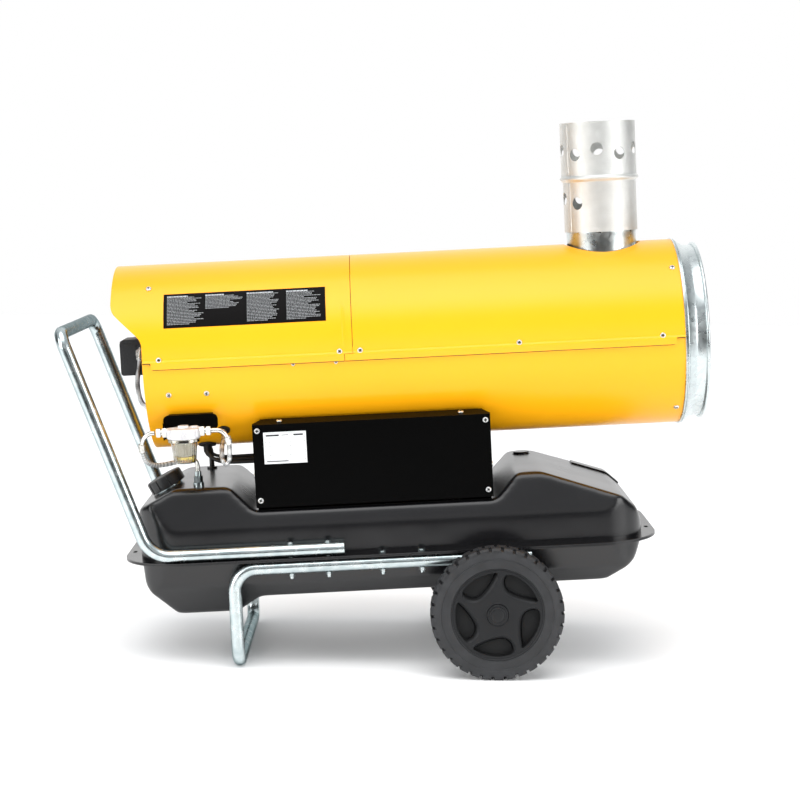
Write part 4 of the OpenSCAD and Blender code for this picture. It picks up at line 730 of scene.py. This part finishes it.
flue_low, flue_bead, flue_top = 512, 603, 698
flue_axis = put(flue_x, 0, 0)
flue = spun([(61.5, flue_low), (62.5, flue_low), (62.6, flue_bead - 6.5), (63.2, flue_bead - 5)]
            + arc(63.6, flue_bead, 3.8, -62, 62)
            + [(64.4, flue_bead + 5), (64.5, flue_bead + 6.5), (64.5, flue_top), (63.5, flue_top),
               (63.5, flue_bead + 5.5), (61.7, flue_bead + 3), (61.5, flue_bead - 6.5)], 128)
punches = []
for count, height, first, way in ((10, flue_bead + 44.5, -98, 1), (5, flue_low + 53.5, -134, -1)):
    for i in range(count):
        step = 4.4 * way * (-1) ** i
        around = turned(first + way * i * 36, "Z")
        punches.append(rod(10.5, 60, flue_axis @ around @ put(62, 0, height + step) @ turned(90, "Y"), 40))
piece("flue_rolled", modified(moved(flue, flue_axis), boolean(joined(*punches))), flue_steel,
      replaces=["flue_pipe"])
for name, low, high, r in (("lower", flue_low + 0.5, flue_bead - 8, 62.4),
                           ("upper", flue_bead + 8, flue_top - 6, 64.4)):
    seam_sheet = laid_grid([0, 0.2, 1, 5, 5.8, 6], [low, low + 1, high - 1, high], lambda a, h: (
        flue_axis @ turned(a - 154, "Z") @ Vector((r + 0.7 * min(1, a, 6 - a), 0, h))))
    piece(f"flue_seam_{name}", modified(seam_sheet, ("SOLIDIFY", {"thickness": 0.4})), flue_steel)
sleeve = spun([(57.9, 470), (59.6, 470), (59.6, 508), (60.1, 510), (60.1, 511.5), (59.6, 540), (57.9, 540)], 128)
piece("flue_stub_sleeve", moved(sleeve, flue_axis), galvanized)

# %% [markdown]
# ## Fuel tank
# The tank has flat sides that meet in soft wide bends. Each half is the room that a side outline, a cross
# section and a plan have in common. A voxel remesh turns that into an even skin, and smoothing then rounds every
# edge alike, as the pressing does. The half is cut flat at the seam afterwards and stands on its own flange.

# %% Tank halves
wall_x, wall_y, filler_x, filler_y = 421, 170, -376, -45
slope = math.atan2(31, 61)
neck_lean = Matrix.Rotation(-slope, 4, "Y")
side_outlines = {
    "upper": [(-wall_x, -16, 0), (wall_x + 6, -16, 0), (wall_x + 6, 22, 10), (wall_x - 5, 51, 12),
              (wall_x - 30, 74, 16), (258, 119, 18), (218, 119, 14), (181, 79, 16), (-225, 79, 16),
              (-266, 119, 18), (-358, 119, 12), (-wall_x, 88, 12)],
    "lower": [(-wall_x, 16, 0), (-wall_x, 0, 0), (-wall_x + 6, -44, 12), (-366, -100, 14), (-265, -100, 12),
              (-223, -71, 12), (wall_x - 60, -71, 24), (wall_x - 12, -38, 24), (wall_x + 6, 0, 0),
              (wall_x + 6, 16, 0)],
}
cross_outlines = {
    "upper": [(-wall_y, -16, 0), (wall_y, -16, 0), (wall_y, 52, 9), (146, 119, 9), (-146, 119, 9),
              (-wall_y, 52, 9)],
    "lower": [(-wall_y + 2, 16, 0), (-wall_y + 2, 0, 0), (-wall_y + 8, -42, 10), (-112, -100, 14),
              (112, -100, 14), (wall_y - 8, -42, 10), (wall_y - 2, 0, 0), (wall_y - 2, 16, 0)],
}


def plan(half_x, half_y, r):
    return rounded([(-half_x, -half_y, r), (half_x, -half_y, r), (half_x, half_y, r), (-half_x, half_y, r)], 16)


def slot_cut(x, y):
    return prism([p + Vector((x, y)) for p in plan(3, 8, 2.9)], "z", -20, 20)


for half, sign in (("upper", 1), ("lower", -1)):
    bm = modified(prism(rounded(side_outlines[half]), "y", -180, 180),
                  boolean(prism(rounded(cross_outlines[half]), "x", -430, 430), "INTERSECT"),
                  boolean(prism(plan(wall_x + 6, wall_y, 72), "z", -120, 140), "INTERSECT"),
                  ("REMESH", {"mode": "VOXEL", "voxel_size": 4}),
                  ("SMOOTH", {"factor": 0.5, "iterations": 14}))
    bmesh.ops.bisect_plane(bm, geom=bm.verts[:] + bm.edges[:] + bm.faces[:], plane_co=(0, 0, sign * 1.2),
                           plane_no=(0, 0, -sign), clear_outer=True)
    bmesh.ops.holes_fill(bm, edges=[e for e in bm.edges if e.is_boundary], sides=0)
    if half == "upper":
        bm = modified(bm, boolean(rod(22, 60, put(filler_x, filler_y, 110) @ neck_lean)))
    piece(f"tank_{half}_pressed", bm, satin_black, replaces=[f"tank_{half}"])
    bm = modified(prism(plan(451, 197, 110), "z", min(0.15, sign * 2.5), max(-0.15, sign * 2.5)),
                  *[boolean(slot_cut(x, y)) for x in (-440, 440) for y in (-60, 60)])
    piece(f"tank_{half}_flange", bm, satin_black, bevel=1.1 if half == "upper" else 0.5)


def slope_height(x):
    """The height of the tank's top at x, where it slopes down to the front."""
    corners = side_outlines["upper"][5:2:-1]
    return next(h + (x - a) * (next_h - h) / (b - a)
                for (a, h, _), (b, next_h, _) in zip(corners, corners[1:]) if a <= x <= b)


boss = spun([(0, 117), (16, 117), (16, 119.2), (14.2, 119.4), (14.6, 122), (14, 122.8), (0, 123)])
piece("tank_top_boss", moved(boss, put(240, 98, 0)), satin_black)
pad = laid_grid([331, 340, 350, 360, 370, 380, 388, 394, 400, 408, 414], [104, 110, 120, 130, 136],
                lambda x, y: Vector((x, y, slope_height(x) + 3.2)))
piece("tank_side_pad", modified(pad, ("SOLIDIFY", {"thickness": 6, "offset": -1})), satin_black,
      bevel=0.8)

# %% [markdown]
# ## Print on the dark panel and on the rating plate
# The panel has four blocks of short dashes, and the plate ruled boxes. They are thin raised strips, because ink
# has a thickness too, though a very small one. A seeded random number gives each dash its length.

# %% Dashes and ruled boxes
def strip(bm, low, high, x0, x1, angle0, angle1, r):
    """A thin curved bar on a cylinder of radius r about the casing's axis."""
    made = bmesh.ops.create_cube(bm, size=1)["verts"]
    for vert in made:
        angle = math.radians(angle0 if vert.co.z < 0 else angle1)
        out = r + (high if vert.co.y > 0 else low)
        vert.co = (x0 if vert.co.x < 0 else x1, -out * math.cos(angle), axis_h + out * math.sin(angle))


bm = bmesh.new()
panel_x, top_angle, row_angle = -357, 42.7, 0.96
for left, width, row_count in ((5, 61, 21), (69, 63, 11), (138, 58, 21), (204, 59, 21)):
    for i in range(row_count):
        angle = top_angle - i * row_angle
        x, end = left, left + width * (random.uniform(0.72, 1) if i % 5 else random.uniform(0.4, 0.9))
        while x < end - 1.5:
            dash = min(random.uniform(1.4, 6), end - x)
            first = len(bm.faces)
            strip(bm, 0.48, 0.56, panel_x + x, panel_x + x + dash, angle - (0.46 if i else 0.7), angle,
                  panel_r + 0.02)
            for face in bm.faces[first:] if i == 0 else []:
                face.material_index = 1
            x += dash + 0.8
# Bending a bar round the casing mirrors it, so its faces are turned outwards again.
bmesh.ops.recalc_face_normals(bm, faces=bm.faces)
piece("panel_dashes", bm, [grey_ink, pale_ink])

bm = bmesh.new()
plate_y = -162.63
rules = [(-200, -133, h, h + 0.35) for h in (159, 163.2, 171, 178.6, 186, 193.4, 200.6, 208)]
rules += [(x, x + 0.35, 159, 208) for x in (-200, -133.4)] + [(x, x + 0.3, 163.2, 200.6) for x in (-192, -158)]
rules += [(-198, -162, 160.4, 162), (-198, -176, 203, 206), (-172, -160, 204, 205.2), (-152, -136, 203, 206)]
for x0, x1, h0, h1 in rules:
    made = bmesh.ops.create_cube(bm, size=1)["verts"]
    bmesh.ops.scale(bm, vec=(x1 - x0, 0.1, h1 - h0), verts=made)
    bmesh.ops.translate(bm, vec=((x0 + x1) / 2, plate_y, (h0 + h1) / 2), verts=made)
piece("plate_rules", bm, dark_ink)

# %% [markdown]
# ## Screws
# One pan head is turned and gets its cross recess by Boolean, whose faces take a dark finish as painted shade.
# The same mesh then goes to every screw's place, and a smaller copy to the two little screws that peep out under
# the lip.

# %% Pan head screws
def scattered(source, places):
    """One bmesh that holds a copy of the source mesh at each of the matrices."""
    bm = bmesh.new()
    for place in places:
        first = len(bm.verts)
        bm.from_mesh(source)
        bmesh.ops.transform(bm, matrix=place, verts=bm.verts[first:] if first else bm.verts[:])
    return bm


bm = spun([(0, -1), (2, -1), (2, -0.05), (4.75, -0.05), (4.8, 0.5), (4.5, 1.4), (3.7, 2.05), (2.4, 2.4),
           (0, 2.5)], 40)
arm, half = 2.7, 0.85
quarter = [Vector((arm, -half)), Vector((arm, half)), Vector((half, half))]
cross = prism([Matrix.Rotation(math.tau * k / 4, 2) @ p for k in range(4) for p in quarter], "z", 0.3, 3)
screw = bpy.data.meshes.new("pan_head")
bm = modified(bm, boolean(cross))
for face in bm.faces:
    middle = face.calc_center_median()
    # Faces inside the cross get the second finish, painted shade of the recess.
    face.material_index = int(max(abs(middle.x), abs(middle.y)) < arm + 0.01 and 0.2 < middle.z < 2.2)
bm.to_mesh(screw)
print("screw head:", len(screw.polygons), "faces, of the recess:",
      sum(f.material_index for f in screw.polygons))


def on_casing(x, angle, side, r):
    turn = turned(side * (angle - 90), "X")
    spin = Matrix.Rotation(random.uniform(0, math.pi), 4, "Z")
    return put(x, 0, axis_h) @ turn @ put(0, 0, r) @ spin


upper_r, lower_r, cover_y = panel_r + 0.05, 157.85, -162.05
heads = [(x, 2, upper_r) for x in (-368, -68, -34, 230, 468)] + [(-384, 50, upper_r), (494, 46, upper_r)]
heads += [(494, -50, lower_r), (-356, -20, lower_r), (-293, -20, lower_r)]
places = [on_casing(x, a, side, r) for x, a, r in heads for side in (-1, 1)]
piece("casing_screw_heads", scattered(screw, places), [zinc_heads, recess_painted_shade],
      replaces=["casing_screws"])
small = [on_casing(x, -4.3, -1, lower_r) @ Matrix.Scale(0.66, 4) for x in (-146, -75)]
piece("lip_screw_heads", scattered(screw, small), [zinc_heads, recess_painted_shade])
facing = turned(90, "X")
places = [put(x, cover_y, h) @ facing @ Matrix.Rotation(random.uniform(0, 3), 4, "Z")
          for x in (-212, 168) for h in (96, 213)]
places += [put(x, -150, 226.9) @ turned(13.5, "X") for x in (-175, 128)]
places += [put(x, -142, 136) @ turned(90 * side, "Y")
           for x, side in ((-220.05, -1), (176.05, 1))]
piece("cover_screw_heads", scattered(screw, places), [zinc_heads, recess_painted_shade],
      replaces=["cover_screws"])

# %% [markdown]
# ## Fuel filter
# A cast head with two ports holds a clear ribbed bowl, and in the bowl stand a pleated paper element and a
# finger of fuel. The bowl is turned with a wall, so light passes it as it passes real plastic, and its ribs come
# from moving the turned rings in and out. The fuel stops a tenth of a millimetre short of the wall.

# %% Filter
filter_at = put(-332, -178, 209)


def hexagon(flats, low, high):
    """A six sided nut along z whose corners are turned off at both ends."""
    r = flats / 2
    blank = spun([(0, low), (r, low), (r * 1.18, low + r * 0.14), (r * 1.18, high - r * 0.14), (r, high),
                  (0, high)], 48)
    bar = rod(flats / 1.732, high - low, put(0, 0, (low + high) / 2), 6)
    return modified(bar, boolean(blank, "INTERSECT"))


pad = prism(plan(27, 21, 5), "z", 2.5, 16.5)
bmesh.ops.bevel(pad, geom=pad.edges[:], offset=1.4, segments=3, affect="EDGES", profile=0.5, material=-1)
port = spun([(0, -27.8), (7.8, -27.8), (8.4, -27.2), (8.4, 27.2), (7.8, 27.8), (0, 27.8)])
head = joined(spun([(0, 0), (26.6, 0), (27.4, 0.8), (27.4, 15), (26.6, 16.6), (24.6, 17.4), (0, 17.4)]),
              moved(pad, put(0, 3, 0)), hexagon(17, 14, 21.5),
              moved(spun([(0, 15), (7, 15), (7, 19.2), (6.2, 20), (0, 20)]), put(18, 2, 0)),
              moved(spun([(0, 15), (6.2, 15), (6.2, 17.4), (5.4, 18.2), (0, 18.2)]),
                    put(-17, 2, 0)),
              moved(port, put(0, 0, 10) @ turned(90, "Y")))
piece("filter_head_cast", moved(head, filter_at), cast_aluminium,
      replaces=["filter_head"])

ring = spun([(22.5, -5.6), (25.6, -5.6), (26.2, -5), (26.2, -0.9), (25.6, -0.3), (22.5, -0.3)], 96)
piece("filter_ring", moved(ring, filter_at), plated_brass)

bowl_outline = [(0, -41), (15.4, -41), (17.2, -40.2), (18.2, -38.4), (22.0, -6), (22.3, -5.4), (22.3, -0.4),
                (20.3, -0.4), (20.2, -6), (16.6, -37.6), (15, -39.2), (0, -39.2)]
bowl = spun(bowl_outline, 144)
for h in (-9, -35):
    bmesh.ops.bisect_plane(bowl, geom=bowl.verts[:] + bowl.edges[:] + bowl.faces[:], plane_co=(0, 0, h),
                           plane_no=(0, 0, 1))
for vert in bowl.verts:
    r = math.hypot(vert.co.x, vert.co.y)
    if -35.5 < vert.co.z < -8.5 and r > 14.5:
        vert.co.xy *= 1 + 0.3 * math.cos(24 * math.atan2(vert.co.y, vert.co.x)) / r
piece("filter_bowl_ribbed", moved(bowl, filter_at), clear_bowl, replaces=["filter_bowl"])
fuel = spun([(0, -39), (14.8, -39), (16.3, -37.5), (17.2, -29.5), (0, -29.5)])
piece("fuel_in_bowl", moved(fuel, filter_at), fuel_oil)

pleat_points = 32
pleats = [Matrix.Rotation(math.tau * i / pleat_points, 2) @ Vector((14.6 if i % 2 else 8.6, 0))
          for i in range(pleat_points)]
element = joined(prism(pleats, "z", -28, -2),
                 spun([(0, -28.9), (13, -28.9), (13.2, -28.5), (13.2, -27.8), (0, -27.8)]))
piece("pleated_element", moved(element, filter_at), filter_paper,
      replaces=["filter_element"], crisp=20)

unions = []
for side in (-1, 1):
    nut = joined(hexagon(15, 0.6, 8), spun([(0, 7), (5, 7), (5, 11.5), (0, 11.5)]), hexagon(14, 10.4, 18))
    unions.append(moved(nut, put(side * 27, 0, 11) @ turned(90 * side, "Y")))
piece("filter_nuts", moved(joined(*unions), filter_at), nickel, replaces=["filter_unions"])

# %% [markdown]
# Each hose is a braided middle with a crimped ferrule and a bent nickelled pipe at either end, all on one route.
# A curve with a round bevel makes them: its points carry a radius each, and that gives the ferrule its crimps.

# %% Helpers for tubes
hose_r, ferrule_length = 4, 13


def smooth_route(points, count=8):
    return closed_curve([points[0], *points, points[-1]], count)[count:count * len(points) + 1]


def length_of(line):
    return sum((b - a).length for a, b in zip(line, line[1:]))


def part_of(line, start, end):
    """The stretch of a line between two distances from its first point."""
    gone, stretch = 0, []
    for a, b in zip(line, line[1:]):
        step = (b - a).length
        if step and gone + step > start and gone < end:
            stretch += [a.lerp(b, max(0, (start - gone) / step))] if not stretch else []
            stretch.append(a.lerp(b, min(1, (end - gone) / step)))
        gone += step
    return stretch


def tube(line, radius, sides=5):
    """A round tube along the line. radius is a number or a function of the share of the way."""
    data = bpy.data.curves.new("route", "CURVE")
    data.dimensions = "3D"
    data.twist_mode = "MINIMUM"
    data.bevel_depth = 1
    data.bevel_resolution = sides
    data.use_fill_caps = True
    spline = data.splines.new("POLY")
    spline.points.add(len(line) - 1)
    for i, (point, place) in enumerate(zip(spline.points, line)):
        point.co = (*place, 1)
        point.radius = radius(i / (len(line) - 1)) if callable(radius) else radius
    made = new_object("route", data)
    bpy.context.view_layer.update()
    mesh = bpy.data.meshes.new_from_object(made.evaluated_get(bpy.context.evaluated_depsgraph_get()))
    bpy.data.objects.remove(made)
    bm = bmesh.new()
    bm.from_mesh(mesh)
    bpy.data.meshes.remove(mesh)
    rounds = length_of(line) / (math.tau * hose_r)
    for loop in (loop for face in bm.faces for loop in face.loops):
        loop[bm.loops.layers.uv.active].uv.y *= rounds
    bmesh.ops.remove_doubles(bm, verts=bm.verts, dist=0.0005)
    bmesh.ops.recalc_face_normals(bm, faces=bm.faces)
    return bm


def crimped(share):
    grip = 0.75 if min(abs(share - 0.3), abs(share - 0.7)) < 0.06 else 0
    return 6.0 - grip - (0.8 if share < 0.03 or share > 0.97 else 0)


def ferrule(line, start):
    stretch = part_of(line, start, start + ferrule_length)
    whole = length_of(stretch)
    fine = [part_of(stretch, whole * k / 40, whole)[0] for k in range(40)] + [stretch[-1]]
    return tube(fine, crimped, 8)


# %% Hoses
suction_route = [(-380, -178, 220), (-389, -177, 219), (-399, -175, 211), (-403, -172, 199), (-402, -170, 186),
                 (-398, -166, 173), (-388, -160, 165), (-372, -150, 163), (-350, -136, 165), (-332, -120, 167),
                 (-322, -112, 162), (-319, -110, 152), (-319, -110, 144)]
supply_route = [(-287, -178, 220), (-272, -177, 219), (-263, -175, 211), (-259, -172, 198), (-259, -169, 180),
                (-260, -166, 168), (-266, -163, 161), (-272, -158, 168), (-273, -150, 182), (-273, -138, 190),
                (-272, -122, 197), (-272, -109, 204), (-272, -102, 212), (-272, -95, 220), (-279, -90, 234),
                (-305, -92, 244), (-350, -102, 250), (-391, -109, 255), (-408, -102, 266), (-415, -84, 296),
                (-412, -66, 326), (-411, -52, 349), (-411, -42, 350)]
for name, route, bends, replaced in (("suction", suction_route, (33, 38), "suction_hose"),
                                     ("supply", supply_route, (31, 16), "supply_hose")):
    line = smooth_route(route)
    whole = length_of(line)
    first, last = bends[0], whole - bends[1]
    pipes = joined(tube(part_of(line, 0, first + 3), 3.8, 6), tube(part_of(line, last - 3, whole), 3.8, 6))
    piece(f"{name}_pipe_ends", pipes, nickel)
    piece(f"{name}_ferrules", joined(ferrule(line, first), ferrule(line, last - ferrule_length)), nickel)
    piece(f"{name}_hose_braided", tube(part_of(line, first + 4, last - 4), hose_r, 8), steel_braid,
          replaces=[replaced], crisp=60)
place, ahead = part_of(line, last, whole)[0], (line[-3] - line[-5]).normalized()
nut = moved(joined(hexagon(14, -2, 5), spun([(0, 4), (5.4, 4), (5.4, 9), (0, 9)])),
            Matrix.Translation(place) @ ahead.to_track_quat("Z", "Y").to_matrix().to_4x4())
piece("supply_nut", nut, nickel)

# %% [markdown]
# Under the lip a thin dark strip is painted shadow: it stands for the shade that the lip casts on the shell. It
# follows the lip's lower edge: along the slanted ends, the long edge and the step between the two panels.

# %% Painted shadow under the lip
shadow_lines = [[(-395, 0.2), (-383.6, 0.2), (-378.4, -10.5), (-61, -10.5)],
               [(-47, 1.6), (-60.3, 1.6), (-60.3, -10.5)],
               [(-59.5, -10.5), (486.6, -10.5), (490.8, 0.2), (505, 0.2)]]
shadow_r, shadow_place_r, shadow_strips = 0.85, panel_r + 0.3, []
for side in (-1, 1):
    for corners in shadow_lines:
        line = [Vector((x, side * math.sqrt(shadow_place_r ** 2 - h * h), axis_h + h)) for x, h in corners]
        shadow_strips.append(tube(line, shadow_r, 3))
# The black rubber finish here is painted shadow under the lip.
piece("lip_painted_shadow", joined(*shadow_strips), black_rubber, crisp=60)

# %% [markdown]
# ## Fuel pump
# A die cast block with a lid, a round flange towards the motor and a short boss that the supply hose screws
# onto. Its side outline has the soft corners of the casting, and a small bevel runs along every other edge.

# %% Fuel pump
pump = [prism(rounded(corners), "y", -half_width, half_width) for half_width, corners in (
    (30, [(-449, 304.5, 5), (-398.2, 304.5, 2), (-398.2, 362, 2), (-449, 362, 3)]),
    (30.6, [(-449.6, 362.8, 0), (-397.6, 362.8, 0), (-397.6, 366.6, 1), (-443, 366.6, 8)]),
    (29.2, [(-448, 361, 0), (-399, 361, 0), (-399, 364, 0), (-448, 364, 0)]),
    (31.4, [(-444, 309, 3), (-421, 309, 3), (-421, 357, 3), (-444, 357, 3)]))]
pump.append(moved(spun([(6.5, 0), (27, 0), (27, 8), (26, 9), (26, 14.8), (6.5, 14.8)]),
                  put(-384, 0, axis_h) @ turned(-90, "Y")))
pump.append(moved(spun([(0, 0), (7, 0), (7.5, 0.6), (7.5, 13), (0, 13)]),
                  put(-411, -41.7, 350) @ turned(-90, "X")))
piece("fuel_pump_cast", joined(*pump), pump_grey, replaces=["fuel_pump"], bevel=0.9)

# %% [markdown]
# ## Filler cap
# A moulded screw cap: a turned disc whose rim is then drawn in between ten broad grip lobes. It is a body of its
# own, because it lifts and turns on the neck. The hole that the neck stands in is already cut in the tank's top.

# %% Filler cap
cap_low, lobes = 5.8, 10
cap_at = put(filler_x, filler_y, 88 + 43 * math.tan(slope)) @ neck_lean
cap = spun([(24.9, -3.6), (30.4, -3.6), (31.4, -2.8), (31.6, -0.6), (31.6, 13.8), (30.9, 16), (28.8, 17.3),
            (24, 17.9), (22.5, 17.4), (0, 17.4), (0, 13.1), (24.9, 13.1)], 240)
for vert in cap.verts:
    r, angle = math.hypot(vert.co.x, vert.co.y), math.atan2(vert.co.y, vert.co.x)
    if r > 28:
        dip = max(0, math.cos(lobes * angle) - 0.72) / 0.28
        vert.co.xy *= 1 - 1.9 * min(1, 2 * dip) / r
piece("filler_cap_moulded", moved(cap, cap_at @ put(0, 0, cap_low)), black_plastic, body="cap",
      replaces=["filler_cap"], crisp=28)

# %% [markdown]
# The studio is a plain pale floor under a white sky, with large soft lights. Big lights make soft shadows and
# broad highlights along the round casing. The sky that the surfaces reflect is darker towards the horizon than
# the one the camera sees, so bright metal has something dark to mirror. Only behind the heater is it brighter,
# as a lit backdrop is, which gives the metal its light edges.

# %% Studio
bpy.context.scene.view_settings.view_transform = "Standard"
world = bpy.data.worlds.new("studio")
bpy.context.scene.world = world
world.use_nodes = True
tree = world.node_tree
tree.nodes.clear()
seen = add(tree, "LightPath", {}).outputs["Is Camera Ray"]
way = add(tree, "SeparateXYZ", {0: add(tree, "TexCoord", {}).outputs["Generated"]}).outputs
sky = add(tree, "ValToRGB", {"Fac": way["Z"]},
          ((0, "#181A1D"), (0.32, "#24272A"), (0.6, "#D9DCDF"), (1, "#F0F2F4")))
behind = add(tree, "MapRange", {"Value": way["Y"], "From Min": 0.4, "From Max": 0.85},
             interpolation_type="SMOOTHSTEP")
mirrored = add(tree, "Mix", {0: behind, 6: sky, 7: (1.55, 1.55, 1.55, 1)}, data_type="RGBA").outputs[2]
glow = add(tree, "Background", {"Color": mirrored, "Strength": 0.8})
white = add(tree, "Background", {"Color": (1, 1, 1, 1), "Strength": 1})
add(tree, "OutputWorld", {"Surface": add(tree, "MixShader", {0: seen, 1: glow, 2: white})})

bm = bmesh.new()
bmesh.ops.create_grid(bm, x_segments=1, y_segments=1, size=5)
bmesh.ops.translate(bm, verts=bm.verts, vec=(0, 3.7, 0))
floor_mesh = bpy.data.meshes.new("studio_floor")
bm.to_mesh(floor_mesh)
bm.free()
floor_mesh.materials.append(mottled("pale_floor", ("#F4F4F4", "#F8F8F8"), 2, 2, Roughness=0.7, IOR=1.45))
floor = new_object("studio_floor", floor_mesh)


# %% Lights
def aimed(name, data, back):
    """A light object whose rays go against the vector back."""
    light = new_object(name, data)
    light.matrix_world = back.to_track_quat("Z", "Y").to_matrix().to_4x4()
    return light


for name, place, aim, size, power, shows in (
        ("left_light", (-3.1, -2.2, 1.2), (-0.1, 0, 0.45), (2.2, 2.2), 66, True),
        ("right_light", (3.1, -2.2, 1.2), (0.1, 0, 0.45), (2.2, 2.2), 60, True),
        ("front_top_light", (0, -1.6, 3.6), (0, 0, 0.4), (3, 1), 36, False),
        ("front_light", (0.3, -4.2, 1.5), (0.1, 0, 0.5), (3.2, 1.3), 8, True),
        ("front_fill", (0, -3.2, 0.3), (0, 0, 0.4), (3, 1), 26, False),
        ("bounce_card", (0, -1.4, 0.15), (0, 0, 0.75), (3, 0.8), 16, False),
        ("background_light", (0, 5, 3), (0, 5, 0), (14, 7), 70, False)):
    data = bpy.data.lights.new(name, "AREA")
    data.shape = "RECTANGLE"
    data.size, data.size_y = size
    data.energy = power
    light = aimed(name, data, Vector(place) - Vector(aim))
    light.location = place
    if not shows:
        light.visible_glossy = light.visible_camera = False
sun = bpy.data.lights.new("overhead_light", "SUN")
sun.energy, sun.angle = 1.5, math.radians(55)
aimed("overhead_light", sun, Vector((-0.1, -0.35, 1)))
print("lights:", len(bpy.data.lights))
